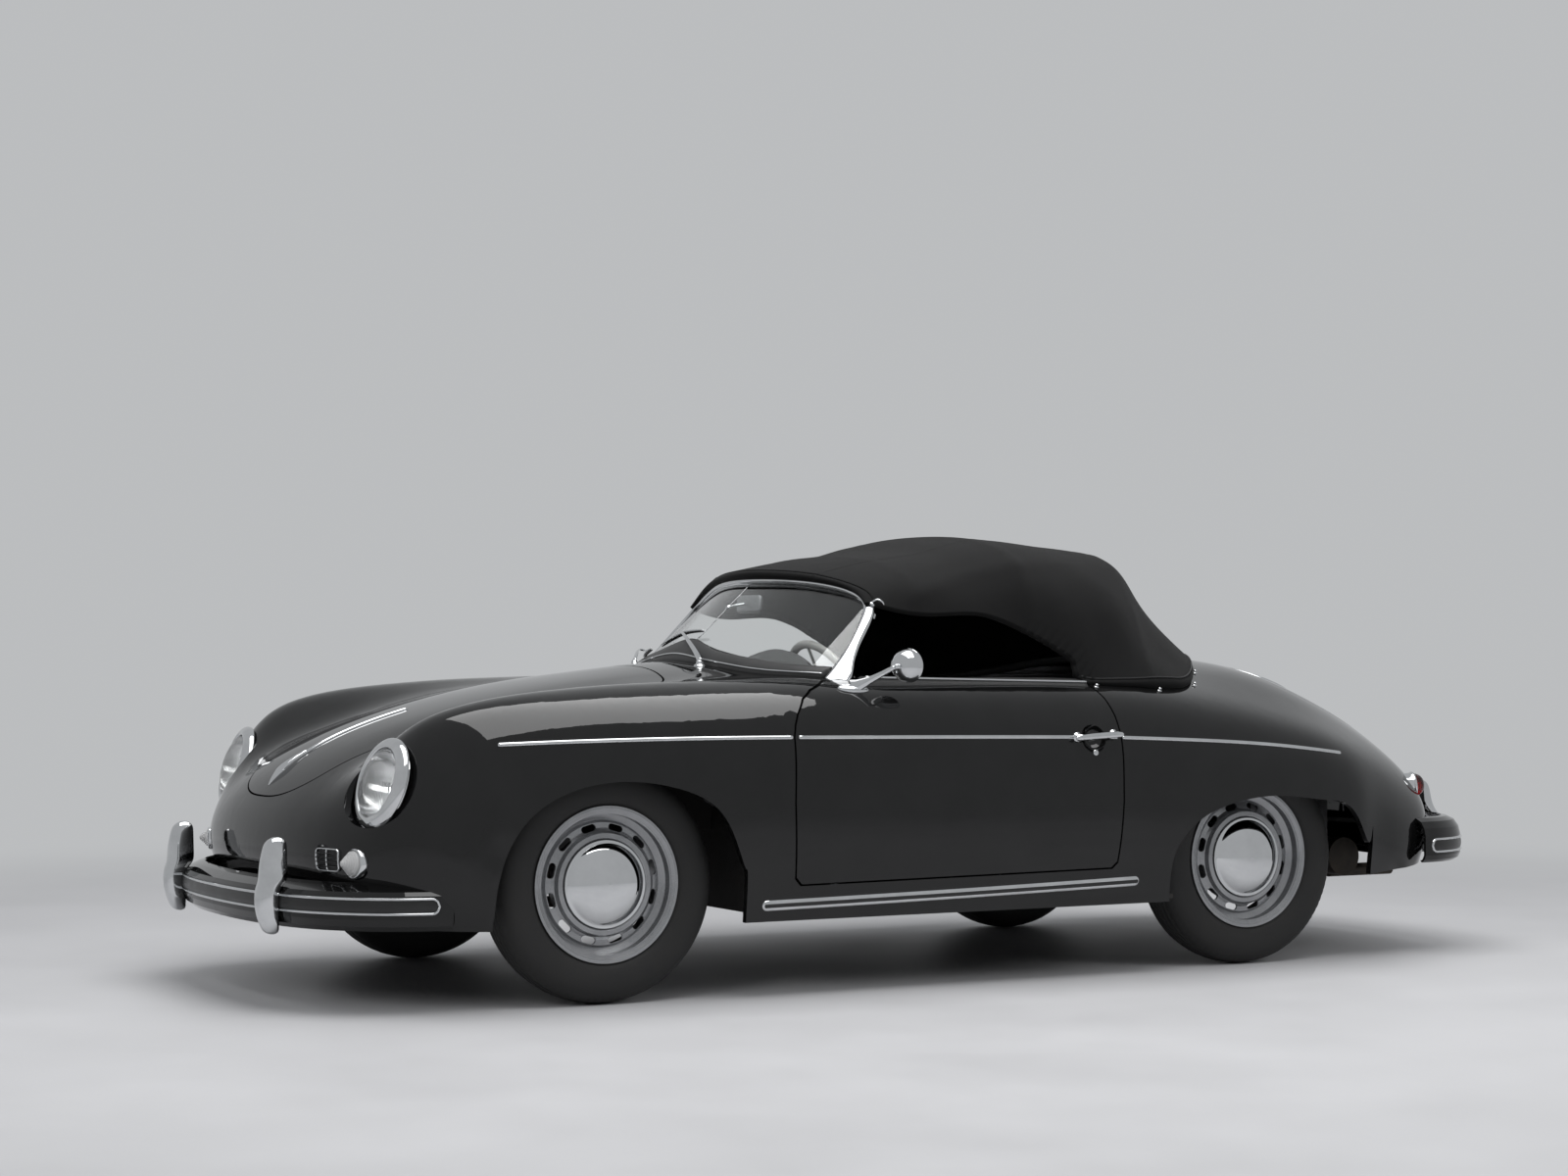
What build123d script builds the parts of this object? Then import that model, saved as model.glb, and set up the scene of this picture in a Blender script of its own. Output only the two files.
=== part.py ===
from build123d import *
import math
import os

import numpy as np

os.makedirs("parts", exist_ok=True)

# Small open two-seat sports car, full size. Millimetres.
# X across (the car's left is +X), the front faces -Y, Z up, ground at Z = 0,
# origin under the centre of the whole car.

# ------------------------------------------------------------------ driving dimensions
FRONT_AXLE = -1130.0          # wheelbase 2100
REAR_AXLE = 970.0
FRONT_TRACK = 1306.0
REAR_TRACK = 1272.0
TYRE_R = 316.0                # 5.60-15 tyre
TYRE_W = 156.0
RIM_R = 207.0                 # outer edge of the 15 inch rim's flange
KINGPIN_X = 560.0
SKIN = 20.0                   # body panel with its flange
SHUT = 5.0                    # shut gap round doors and lids
DOOR_HINGE = (834.0, -622.0)  # x, y of the left door's hinge line
BONNET_HINGE = (-742.0, 892.0)   # y, z
ENGINE_LID_HINGE = (1235.0, 886.0)
GROUND_CLEAR = 205.0          # lower edge of the sills

# ------------------------------------------------------------------ the body's form
# One net describes the whole outside. Each station runs from the centre over the bonnet's
# side, the valley beside the wing, the wing's crest, the shoulder, the belt and the waist to
# the sill. Y is measured from the front axle. Stations: front lower edge, bumper height, lamp
# height, above the lamps, wing front, ahead of the axle, behind the axle, cowl, doors, door
# end, rear axle, rear lid, tail shoulder, tail lamps, tail, rear lower edge.
BODY = [
    [(0, -642, 184), (230, -634, 182), (420, -606, 180), (560, -556, 180),
     (648, -498, 184), (702, -440, 190), (735, -390, 196), (757, -345, 200)],
    [(0, -748, 375), (240, -736, 375), (430, -706, 375), (575, -653, 378),
     (680, -572, 380), (744, -478, 365), (774, -398, 330), (786, -335, 275)],
    [(0, -714, 520), (245, -702, 518), (430, -670, 520), (587, -612, 545),
     (702, -545, 530), (768, -430, 490), (793, -340, 415), (797, -290, 300)],
    [(0, -600, 633), (250, -585, 628), (430, -560, 638), (600, -525, 700),
     (722, -470, 640), (785, -370, 575), (806, -290, 455), (800, -250, 300)],
    [(0, -420, 721), (255, -410, 711), (440, -395, 708), (615, -385, 784),
     (735, -350, 727), (792, -290, 640), (812, -240, 480), (801, -215, 300)],
    [(0, -130, 803), (260, -130, 792), (450, -130, 784), (624, -130, 825),
     (742, -130, 778), (797, -130, 690), (815, -130, 500), (802, -130, 260)],
    [(0, 180, 857), (265, 180, 845), (460, 180, 826), (632, 180, 842),
     (750, 180, 790), (806, 180, 700), (822, 180, 500), (801, 180, 195)],
    [(0, 590, 903), (270, 590, 880), (470, 590, 858), (655, 590, 846),
     (764, 590, 795), (818, 590, 700), (831, 590, 500), (800, 590, 186)],
    [(0, 1050, 915), (270, 1050, 895), (470, 1050, 868), (668, 1050, 845),
     (770, 1050, 792), (823, 1050, 697), (835, 1050, 500), (800, 1050, 186)],
    [(0, 1600, 917), (270, 1600, 900), (470, 1600, 873), (660, 1600, 838),
     (765, 1600, 782), (820, 1600, 685), (834, 1600, 500), (799, 1600, 188)],
    [(0, 2080, 910), (260, 2080, 895), (455, 2080, 856), (630, 2080, 793),
     (745, 2080, 730), (805, 2080, 645), (822, 2080, 480), (793, 2080, 210)],
    [(0, 2420, 880), (250, 2420, 860), (435, 2420, 805), (600, 2420, 722),
     (715, 2420, 655), (775, 2420, 580), (797, 2420, 450), (773, 2420, 228)],
    [(0, 2700, 780), (240, 2695, 760), (415, 2680, 705), (570, 2650, 638),
     (675, 2615, 575), (735, 2570, 510), (765, 2530, 405), (758, 2505, 236)],
    [(0, 2900, 640), (230, 2890, 630), (400, 2865, 590), (545, 2822, 540),
     (645, 2762, 485), (706, 2700, 425), (738, 2640, 350), (736, 2590, 238)],
    [(0, 2985, 450), (225, 2973, 450), (390, 2945, 445), (530, 2900, 430),
     (626, 2838, 400), (684, 2772, 350), (714, 2700, 290), (716, 2650, 236)],
    [(0, 2938, 236), (220, 2926, 236), (380, 2900, 234), (512, 2862, 232),
     (610, 2812, 231), (662, 2762, 231), (692, 2712, 231), (704, 2678, 232)],
]
# The folded-up hood: from the windscreen header over the bow's hump and the rear shoulder
# down to the hem on the rear deck. Centre, quarter, cantrail, side, hem. Y from the front axle.
HOOD = [
    [(0, 778, 1166), (270, 796, 1156), (440, 836, 1126), (528, 868, 1092), (566, 885, 1057)],
    [(0, 1020, 1200), (285, 1025, 1188), (470, 1030, 1152), (575, 1035, 1097), (612, 1040, 1032)],
    [(0, 1200, 1227), (292, 1198, 1214), (486, 1195, 1175), (597, 1190, 1100), (634, 1200, 1034)],
    [(0, 1370, 1264), (300, 1365, 1250), (500, 1355, 1205), (615, 1345, 1110), (650, 1337, 989)],
    [(0, 1640, 1248), (305, 1620, 1232), (515, 1580, 1178), (640, 1520, 1060), (676, 1475, 915)],
    [(0, 1895, 1210), (305, 1858, 1193), (500, 1765, 1135), (640, 1680, 1000), (688, 1610, 846)],
    [(0, 2000, 1125), (295, 1945, 1105), (480, 1850, 1062), (622, 1765, 950), (688, 1720, 842)],
    [(0, 2085, 1025), (285, 2035, 1010), (460, 1935, 985), (600, 1850, 900), (668, 1820, 842)],
    [(0, 2215, 920), (275, 2168, 910), (450, 2072, 890), (590, 1965, 854), (645, 1890, 842)],
]


def natural_spline(knots, rows, at):
    """Natural cubic spline through rows[i] at knots[i], evaluated at every value in at."""
    n, h = len(knots), np.diff(knots)
    a, b = np.eye(n), np.zeros_like(rows)
    for i in range(1, n - 1):
        a[i, i - 1:i + 2] = h[i - 1], 2 * (h[i - 1] + h[i]), h[i]
        b[i] = 6 * ((rows[i + 1] - rows[i]) / h[i] - (rows[i] - rows[i - 1]) / h[i - 1])
    m = np.linalg.solve(a, b.reshape(n, -1)).reshape(rows.shape)
    i = np.clip(np.searchsorted(knots, at) - 1, 0, n - 2)
    s = (slice(None),) + (None,) * (rows.ndim - 1)
    p, q, w = (knots[i + 1] - at)[s], (at - knots[i])[s], h[i][s]
    return ((m[i] * p**3 + m[i + 1] * q**3) / (6 * w) + (rows[i] / w - m[i] * w / 6) * p
            + (rows[i + 1] / w - m[i + 1] * w / 6) * q)


def net_face(half, n_long=37, n_across=27):
    """Mirror a half net about the centre plane and lay one smooth face through it."""
    net = np.array(half, float) + [0, FRONT_AXLE, 0]
    net = np.concatenate([net[:, :0:-1] * [-1, 1, 1], net], axis=1)
    for axis, count in ((0, n_long), (1, n_across)):
        net = np.swapaxes(net, 0, axis)
        gaps = np.sqrt(np.linalg.norm(np.diff(net, axis=0), axis=-1)).mean(axis=1)
        knots = np.concatenate([[0], np.cumsum(gaps)])
        net = natural_spline(knots, net, np.linspace(0, knots[-1], count))
        net = np.swapaxes(net, 0, axis)
    return Face.make_surface_from_array_of_points(
        [[tuple(p) for p in row] for row in net], tol=0.3, min_deg=3, max_deg=3)


def inside(block, face, at):
    """The piece of a block on one side of a face: the one that holds the point 'at'."""
    pieces = block.split(face, keep=Keep.BOTH)
    solids = [s for p in pieces if p is not None for s in (p if isinstance(p, list) else p.solids())]
    near = [s for s in solids if s.is_inside(Vector(*at))]
    return near[0]


def above(block, face):
    """The piece of a block that stands on top of a face."""
    pieces = block.split(face, keep=Keep.BOTH)
    solids = [s for p in pieces if p is not None for s in (p if isinstance(p, list) else p.solids())]
    return max(solids, key=lambda s: s.center().Z)


def prism(plane, points, depth, both=True):
    """A straight prism on a plane through a closed outline of local points."""
    return extrude(plane * make_face(Polyline(*points, close=True)), depth, both=both)


def smooth_prism(plane, points, depth, both=True):
    return extrude(plane * make_face(Spline(*points, periodic=True)), depth, both=both)


body_face = net_face(BODY)
SIDE = Plane.YZ

# Door outline in side view (y, z): front line, bottom, rear line. The top is the body's own.
DOOR_FRONT = [(-385, 900), (-385, 858), (-450, 843), (-524, 820), (-565, 797), (-598, 757),
              (-612, 730), (-621, 697), (-624, 520), (-616, 322), (-598, 303)]
DOOR_REAR = [(402, 313), (420, 330), (430, 500), (428, 685), (424, 740), (414, 790),
             (394, 842), (380, 900)]


def grow(points, by):
    """Move every point of an outline away from the outline's middle by 'by' each way."""
    ys, zs = [p[0] for p in points], [p[1] for p in points]
    my, mz = (min(ys) + max(ys)) / 2, (min(zs) + max(zs)) / 2
    hy, hz = (max(ys) - min(ys)) / 2, (max(zs) - min(zs)) / 2
    return [(my + (y - my) * (hy + by) / hy, mz + (z - mz) * (hz + by) / hz) for y, z in points]


door_outline = DOOR_FRONT + DOOR_REAR

# ------------------------------------------------------------------ body shell
with BuildPart() as shell:
    thicken(body_face, amount=SKIN)

# wheel arches: a wide low oval in the skin, level with the wheel
def arch(y, half_long, top):
    z = TYRE_R
    outline = [(y - half_long, 100), (y - half_long, z - 60), (y - half_long * 0.97, z + 40),
               (y - half_long * 0.8, z + top * 0.62), (y - half_long * 0.45, z + top * 0.91),
               (y, z + top), (y + half_long * 0.45, z + top * 0.91),
               (y + half_long * 0.8, z + top * 0.62), (y + half_long * 0.97, z + 40),
               (y + half_long, z - 60), (y + half_long, 100)]
    with BuildSketch(SIDE) as s:
        with BuildLine():
            Polyline(outline[0], outline[1])
            Spline(*outline[1:-1], tangents=((0, 1), (0, -1)))
            Polyline(outline[-2], outline[-1], outline[0])
        make_face()
    return extrude(s.sketch, 1000, both=True) - Box(900, 6000, 3000)


front_arch = arch(FRONT_AXLE + 12, 356, 273)
rear_arch = arch(REAR_AXLE + 28, 384, 186)

# cockpit opening, in plan
cockpit = smooth_prism(Plane.XY, [(0, -470), (330, -440), (560, -372), (632, -290), (640, 0),
                                  (640, 430), (560, 690), (330, 850), (0, 905), (-330, 850),
                                  (-560, 690), (-640, 430), (-640, 0), (-632, -290),
                                  (-560, -372), (-330, -440)], 1400) & (
    Pos(0, 200, 1000) * Box(2000, 2600, 700))

# bonnet and engine lid outlines, each cut square to a tilted plane
bonnet_plane = Plane(origin=(0, -1300, 800), x_dir=(1, 0, 0), z_dir=(0, -math.sin(0.66), math.cos(0.66)))
BONNET = [(0, -1829, 532), (150, -1815, 545), (245, -1770, 590), (290, -1690, 650), (340, -1550, 720),
          (395, -1350, 770), (432, -1130, 808), (440, -960, 838), (410, -852, 862), (305, -790, 876),
          (160, -756, 887), (0, -747, 893)]
lid_plane = Plane(origin=(0, 1500, 800), x_dir=(1, 0, 0), z_dir=(0, math.sin(0.5), math.cos(0.5)))
LID = [(0, 1240, 886), (130, 1241, 884), (250, 1252, 870), (345, 1303, 838), (385, 1400, 790),
       (395, 1520, 725), (370, 1620, 670), (295, 1690, 644), (150, 1712, 653), (0, 1715, 655)]


def lid_cutter(plane, half_outline, grow_by):
    """A prism square to the plane round a lid, both halves alike, grown by the shut gap."""
    pts = np.array([(p.X, p.Y) for p in (plane.to_local_coords(Vector(*q)) for q in half_outline)])
    wrap = np.concatenate([pts[3:0:-1] * (-1, 1), pts, pts[-2:-5:-1] * (-1, 1)])
    knots = np.concatenate([[0], np.cumsum(np.linalg.norm(np.diff(wrap, axis=0), axis=1))])
    pts = natural_spline(knots, wrap, np.linspace(knots[3], knots[-4], 31))
    along = np.gradient(pts, axis=0)
    along[0], along[-1] = (1, 0), (-1, 0)
    out = np.stack([along[:, 1], -along[:, 0]], axis=1)
    pts += grow_by * out / np.linalg.norm(out, axis=1)[:, None]
    pts[0, 0] = pts[-1, 0] = 0
    left = Spline(*[tuple(p) for p in pts], tangents=((1, 0), (-1, 0)))
    right = mirror(left, about=Plane.YZ)
    return extrude(plane * make_face([left, right]), 700, both=True)


bonnet_cut = lid_cutter(bonnet_plane, BONNET, 0) & (Pos(0, -1300, 900) * Box(2000, 1300, 900))
bonnet_gap = lid_cutter(bonnet_plane, BONNET, SHUT) & (Pos(0, -1300, 900) * Box(2000, 1300, 900))
lid_cut = lid_cutter(lid_plane, LID, 0) & (Pos(0, 1500, 900) * Box(2000, 1000, 900))
lid_gap = lid_cutter(lid_plane, LID, SHUT) & (Pos(0, 1500, 900) * Box(2000, 1000, 900))
door_gap = prism(SIDE, grow(door_outline, SHUT), 1000) - Pos(0, 0, 600) * Box(1294, 2000, 800)
# lower edge of the whole body, in side view
LOWER = [(-2100, 100), (-2100, 222), (-1474, 211), (-762, 206), (614, 206), (1290, 250),
         (1395, 255), (1515, 263), (1640, 272), (2100, 285), (2100, 100)]
lower_edge = prism(SIDE, LOWER, 1000)

# headlamps lean back and look slightly outwards
LAMP_AT = (589, FRONT_AXLE - 572, 586)
LAMP_AIM = (0.10, -0.95, 0.29)


def facing(at, aim, side=1):
    """A plane whose +Z looks along 'aim', at the left side (+1) or mirrored to the right."""
    return Plane(origin=(side * at[0], at[1], at[2]), x_dir=(side * -aim[1], aim[0], 0),
                 z_dir=(side * aim[0], aim[1], aim[2]))


def turned(plane, profile):
    """Revolve a closed profile of (radius, height) points about a plane's Z."""
    section = Plane(origin=plane.origin, x_dir=plane.x_dir, z_dir=-plane.y_dir)
    return revolve(section * make_face(Polyline(*profile, close=True)),
                   Axis(plane.origin, plane.z_dir), 360)


lamp_holes = []
for k in (-1, 1):
    seat_plane = facing(LAMP_AT, LAMP_AIM, k)
    lamp_holes.append(extrude(seat_plane * Circle(106), 120, both=True)
                      + extrude(seat_plane.offset(3) * Circle(122), 120))


def lengthwise(y0, y1):
    return Pos(0, (y0 + y1) / 2, 600) * Box(2400, y1 - y0, 1600)


FRONT_END, REAR_END = -619, 431          # y where the sills meet the front and rear body
front_zone = lengthwise(-2200, FRONT_END) + Pos(0, -700, 900) * Box(2400, 800, 600)
rear_zone = lengthwise(REAR_END, 2200) + Pos(0, 600, 900) * Box(2400, 1200, 600)
sill_zone = Pos(0, (FRONT_END + REAR_END) / 2, 300) * Box(2400, REAR_END - FRONT_END, 500)
with BuildPart() as front_body:
    add(shell.part)
    add(front_zone, mode=Mode.INTERSECT)
    add([lower_edge, front_arch, cockpit, bonnet_gap, door_gap, *lamp_holes], mode=Mode.SUBTRACT)
with BuildPart() as rear_body:
    add(shell.part)
    add(rear_zone, mode=Mode.INTERSECT)
    add([lower_edge, rear_arch, cockpit, lid_gap, door_gap], mode=Mode.SUBTRACT)
with BuildPart() as sills:
    add(shell.part)
    add(sill_zone, mode=Mode.INTERSECT)
    add([lower_edge, door_gap], mode=Mode.SUBTRACT)

# ------------------------------------------------------------------ doors and lids
DOOR_INNER = 652                     # the trim panel's plane
door_blank = prism(SIDE, door_outline, 950, both=False) & (
    Pos(DOOR_INNER + 200, 0, 600) * Box(400, 1400, 700))
door_block = inside(door_blank, body_face, (700, -80, 600))
with BuildPart() as door_left:
    add(door_block)
    with Locations((DOOR_INNER, -80, 560)):      # map pocket
        Box(130, 700, 260, mode=Mode.SUBTRACT)
    with Locations((833, 335, 682)):             # round finger recess behind the handle
        Sphere(42, mode=Mode.SUBTRACT)
with BuildPart() as door_right:
    mirror(door_left.part, about=Plane.YZ)

with BuildPart() as bonnet:
    thicken(body_face, amount=14)
    add(bonnet_cut, mode=Mode.INTERSECT)
with BuildPart() as engine_lid:
    thicken(body_face, amount=14)
    add(lid_cut, mode=Mode.INTERSECT)


skin_faces = shell.part.faces().sort_by(SortBy.AREA)
inner_face = skin_faces[-2]          # the panels' inner side


def fitted(block, at):
    """The part of a block that lies within the body's panels."""
    return inside(block, inner_face, at)


def slab(x0, x1, y0, y1, z0, z1):
    return Pos((x0 + x1) / 2, (y0 + y1) / 2, (z0 + z1) / 2) * Box(x1 - x0, y1 - y0, z1 - z0)


def both_sides(part):
    return part + mirror(part, about=Plane.YZ)


# ------------------------------------------------------------------ floor and bulkheads
floor_plate = fitted(slab(-900, 900, -650, 640, 214, 226), (0, 0, 220))
toe_board = fitted(slab(-900, 900, -662, -650, 214, 960), (0, -656, 500))
seat_wall = fitted(slab(-900, 900, 590, 600, 226, 700), (0, 595, 500))
well_wall = fitted(slab(388, 398, -1560, -662, 430, 960), (393, -1100, 500))
well_roof = fitted(slab(398, 900, -1500, -662, 650, 660), (500, -1100, 655))
boot_floor = slab(-388, 388, -1560, -662, 430, 440)
boot_front = slab(-398, 398, -1570, -1560, 430, 600)
rear_shelf = slab(-530, 530, 600, 1090, 690, 700)
fire_wall = slab(-540, 540, 1090, 1100, 420, 700)
rear_wall = slab(530, 540, 600, 1090, 420, 700)
sill_beam = slab(690, 770, -619, 431, 226, 296)
tunnel = slab(-75, 75, -650, 590, 226, 350)
with BuildPart() as floor_pan:
    add([floor_plate, toe_board, seat_wall, boot_floor, boot_front, rear_shelf, fire_wall, tunnel])
    for part in (well_wall, well_roof, rear_wall, sill_beam):
        add(part)
        mirror(part, about=Plane.YZ)

# ------------------------------------------------------------------ windscreen
RAKE = (0, 0.733, 0.680)
screen_plane = Plane(origin=(0, -524, 955), x_dir=(1, 0, 0), z_dir=RAKE)
BOW = [(0, 0), (265, 33), (419, 76), (545, 120), (625, 160), (690, 200)]


def bow_sheet(thick):
    """A sheet bowed like the windscreen, carried along its rake."""
    front = [(-x, y) for x, y in reversed(BOW[1:])] + BOW
    with BuildSketch(screen_plane) as s:
        with BuildLine():
            e = Spline(*front)
            f = Spline(*[(x * (1 - thick / 1300), y + thick) for x, y in front])
            Line(e @ 0, f @ 0)
            Line(e @ 1, f @ 1)
        make_face()
    return extrude(s.sketch, 330, both=True)


def front_outline(points, depth=2000):
    """A prism along Y through an outline in front view, given for the left half."""
    ring = points + [(-x, z) for x, z in reversed(points) if x > 0]
    return extrude(Plane.XZ * make_face(Polyline(*ring, close=True)), depth, both=True)


GLASS = [(0, 957), (154, 928), (265, 911), (419, 892), (543, 882), (604, 879), (596, 925),
         (578, 985), (552, 1040), (520, 1066), (470, 1086), (400, 1104), (264, 1122), (0, 1131)]
FRAME = [(0, 850), (670, 800), (656, 866), (632, 900), (606, 960), (582, 1020), (560, 1056),
         (526, 1080), (474, 1098), (404, 1116), (266, 1134), (0, 1143)]
glass_hole = front_outline(GLASS)
frame_blank = (bow_sheet(14) & front_outline(FRAME)) - glass_hole
with BuildPart() as windscreen_frame:
    add(above(frame_blank, body_face))
glass_sheet = bow_sheet(6).moved(Location((0, 6.1, -6.6))) & glass_hole
with BuildPart() as windscreen_glass:
    add(glass_sheet)
with BuildPart() as inside_mirror:
    with BuildSketch(Plane(origin=(0, -480, 948), z_dir=RAKE)):
        Circle(4)
    extrude(amount=222)
    with BuildSketch(Plane.XZ.offset(345)):
        with Locations((40, 1060)):
            RectangleRounded(150, 50, 14)
    extrude(amount=-10)
    with Locations((0, -350, 1060)):
        Box(14, 26, 14)

# ------------------------------------------------------------------ folding hood, raised
hood_face = net_face(HOOD, 31, 25)
hood_window = extrude(Plane(origin=(0, 940, 1080), x_dir=(1, 0, 0), z_dir=(0, 0.72, 0.69))
                      * RectangleRounded(560, 150, 60), 300, both=True)
hood_window = hood_window & slab(-400, 400, 700, 1300, 900, 1300)
with BuildPart() as hood_pane:
    thicken(hood_face, amount=3)
    add(hood_window, mode=Mode.INTERSECT)
with BuildPart() as hood:
    thicken(hood_face, amount=7)
    add([hood_window, frame_blank], mode=Mode.SUBTRACT)

# ------------------------------------------------------------------ cabin
column_plane = Plane(origin=(350, -244, 764), x_dir=(1, 0, 0), z_dir=(0, 0.906, 0.423))
dash_block = fitted(slab(-645, 645, -420, -385, 640, 960), (0, -400, 750))
with BuildPart() as dashboard:
    add(dash_block)
    with BuildSketch(Plane.XZ.offset(385)):
        with Locations((230, 815), (350, 825), (470, 815)):
            Circle(50)
    extrude(amount=10, mode=Mode.SUBTRACT)
    with BuildSketch(column_plane):
        Circle(26)
    extrude(amount=-400, mode=Mode.SUBTRACT)
rim_ring = column_plane * Torus(198, 12)
with BuildPart() as steering_wheel:
    with BuildSketch(column_plane):
        Circle(30)
    extrude(amount=14, both=True)
    with BuildSketch(column_plane):
        with PolarLocations(0, 3, start_angle=90):
            with Locations((95, 0)):
                Rectangle(190, 18)
    extrude(amount=3, both=True)
    with BuildSketch(column_plane):
        Circle(16)
    extrude(amount=-370)
    add(rim_ring)


def seat():
    """Bucket seat: a flat cushion with rolled edges and a low curved back."""
    profile = [(-170, 236), (330, 236), (425, 300), (472, 560), (496, 770), (470, 800), (425, 795),
               (398, 740), (350, 560), (300, 440), (150, 405), (-100, 430), (-178, 420), (-200, 380)]
    with BuildPart() as s:
        with BuildSketch(Plane.YZ.offset(130)):
            with BuildLine():
                Line(profile[0], profile[1])
                Spline(*profile[1:], profile[0])
            make_face()
        extrude(amount=430)
    return s.part


with BuildPart() as seat_left:
    add(seat())
with BuildPart() as seat_right:
    mirror(seat_left.part, about=Plane.YZ)

# ------------------------------------------------------------------ wheels
TYRE = [(57.5, 190), (57.5, 208), (66, 214), (77, 240), (78, 262), (72, 286), (60, 304), (40, 312.5),
        (0, 316), (0, 303), (42, 299), (58, 286), (66, 262), (64, 238), (52, 216), (42, 206), (42, 190)]
RIM = [(66, 207), (66, 200), (61, 190), (57.5, 190), (32, 189), (22, 172), (-22, 172), (-32, 189), (-57.5, 190),
       (-61, 190), (-66, 200), (-66, 207), (-62, 207), (-62, 202), (-58, 186), (-34, 185),
       (-24, 168), (24, 168), (34, 185), (58, 186), (62, 202), (62, 207)]
DISC = [(24, 168.5), (30, 162), (33, 148), (38, 140), (50, 134), (52, 122), (46, 112), (38, 90), (30, 60),
        (30, 30), (24, 30), (24, 62), (32, 92), (40, 114), (46, 124), (45, 130), (33, 136), (27, 145),
        (24, 160), (14, 166), (14, 168.5)]
CAP = [(52.2, 116), (56, 117), (62, 114), (70, 102), (77, 84), (82, 58), (84, 30), (84.5, 0), (81.5, 0),
       (81, 30), (79, 57), (74, 82), (67, 100), (60, 111), (54, 113), (52.2, 113)]
DRUM = [(30, 60), (24, 62), (24, 100), (20, 128), (-14, 132), (-14, 124), (12, 118), (14, 30), (30, 30)]


def wheel_plane(x, y):
    """At a wheel's centre: local X out of the car, local Y forwards and Z up, left side."""
    return Plane(origin=(x, y, TYRE_R), x_dir=(1, 0, 0), z_dir=(0, -1, 0))


def spun(profile, x, y):
    """Revolve (outward, radius) points about the wheel's own axle line."""
    return revolve(wheel_plane(x, y) * make_face(Polyline(*profile, close=True)),
                   Axis((x, y, TYRE_R), (1, 0, 0)), 360)


TYRE_RING = (TYRE[:9] + [(-a, r) for a, r in reversed(TYRE[:8])]
             + [(-a, r) for a, r in reversed(TYRE[10:])] + TYRE[9:])


def make_wheel(x, y):
    """Tyre, rim with its slotted disc and drum, and hub cap of one left wheel."""
    rim = spun(RIM, x, y) + spun(DISC, x, y) + spun(DRUM, x, y)
    for k in range(12):
        a = math.radians(30 * k + 15)
        centre = Plane(origin=(x, y + 151 * math.cos(a), TYRE_R + 151 * math.sin(a)),
                       x_dir=(0, -math.sin(a), math.cos(a)), z_dir=(1, 0, 0))
        rim = rim - extrude(centre * SlotOverall(42, 18), 45)
    return spun(TYRE_RING, x, y), rim, spun(CAP, x, y)


wheels = {}
for name, x, y in (("front", FRONT_TRACK / 2, FRONT_AXLE), ("rear", REAR_TRACK / 2, REAR_AXLE)):
    for kind, piece in zip(("tyre", "rim", "hubcap"), make_wheel(x, y)):
        with BuildPart() as left_piece:
            add(piece)
        with BuildPart() as right_piece:
            mirror(left_piece.part, about=Plane.YZ)
        wheels[f"{kind}_{name}_left"] = left_piece
        wheels[f"{kind}_{name}_right"] = right_piece

# ------------------------------------------------------------------ running gear
def rod(a, b, r):
    a, b = Vector(*a), Vector(*b)
    return extrude(Plane(origin=a, z_dir=b - a) * Circle(r), (b - a).length)


fw = FRONT_AXLE
arms = []
for z in (255, 377):
    arms += [rod((0, fw - 150, z), (405, fw - 150, z), 28),
             rod((395, fw - 150, z), (500, fw - 10, z), 15), rod((495, fw - 14, z), (520, fw, z), 15)]
carrier = rod((520, fw, 222), (520, fw, 410), 14)
forks = slab(508, KINGPIN_X + 16, fw - 15, fw + 15, 222, 234) + slab(508, KINGPIN_X + 16, fw - 15, fw + 15, 398, 410)
pin = rod((KINGPIN_X, fw, 230), (KINGPIN_X, fw, 402), 9)
posts = slab(150, 190, fw - 180, fw - 120, 200, 380)
front_half = arms[0]
for part in arms[1:] + [carrier, forks, pin, posts]:
    front_half = front_half + part
with BuildPart() as front_axle:
    add(both_sides(front_half))
stub = rod((KINGPIN_X, fw, TYRE_R), (676, fw, TYRE_R), 17)
knuckle_body = rod((KINGPIN_X, fw, 235), (KINGPIN_X, fw, 397), 19) + stub + rod((600, fw, TYRE_R), (606, fw, TYRE_R), 120)
knuckle_body = knuckle_body - rod((KINGPIN_X, fw, 220), (KINGPIN_X, fw, 420), 9.05)
with BuildPart() as knuckle_left:
    add(knuckle_body)
with BuildPart() as knuckle_right:
    mirror(knuckle_left.part, about=Plane.YZ)
ra = REAR_AXLE
rear_parts = [rod((-605, ra, TYRE_R), (605, ra, TYRE_R), 34), rod((-659, ra, TYRE_R), (659, ra, TYRE_R), 17),
              slab(-120, 120, 640, 1080, 240, 400), rod((585, ra, TYRE_R), (591, ra, TYRE_R), 120),
              rod((-591, ra, TYRE_R), (-585, ra, TYRE_R), 120)]
engine_parts = [slab(-330, 330, 1110, 1560, 250, 480), slab(-140, 140, 1110, 1300, 480, 660),
                rod((0, 1300, 560), (0, 1420, 560), 110)]
exhaust_parts = [rod((-300, 1650, 270), (300, 1650, 270), 60), rod((220, 1650, 220), (220, 1900, 220), 20),
                 rod((-220, 1650, 220), (-220, 1900, 220), 20)]
with BuildPart() as rear_axle:
    add(rear_parts)
with BuildPart() as engine:
    add(engine_parts)
with BuildPart() as exhaust:
    add(exhaust_parts)

# ------------------------------------------------------------------ lamps, bumpers, trim
def outside(block):
    """The piece of a block that stands proud of the panels, on whichever side it lies."""
    pieces = block.split(body_face, keep=Keep.BOTH)
    solids = [s for p in pieces if p is not None for s in (p if isinstance(p, list) else p.solids())]
    return max(solids, key=lambda s: (s.center() - Vector(0, 0, 450)).length)


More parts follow.
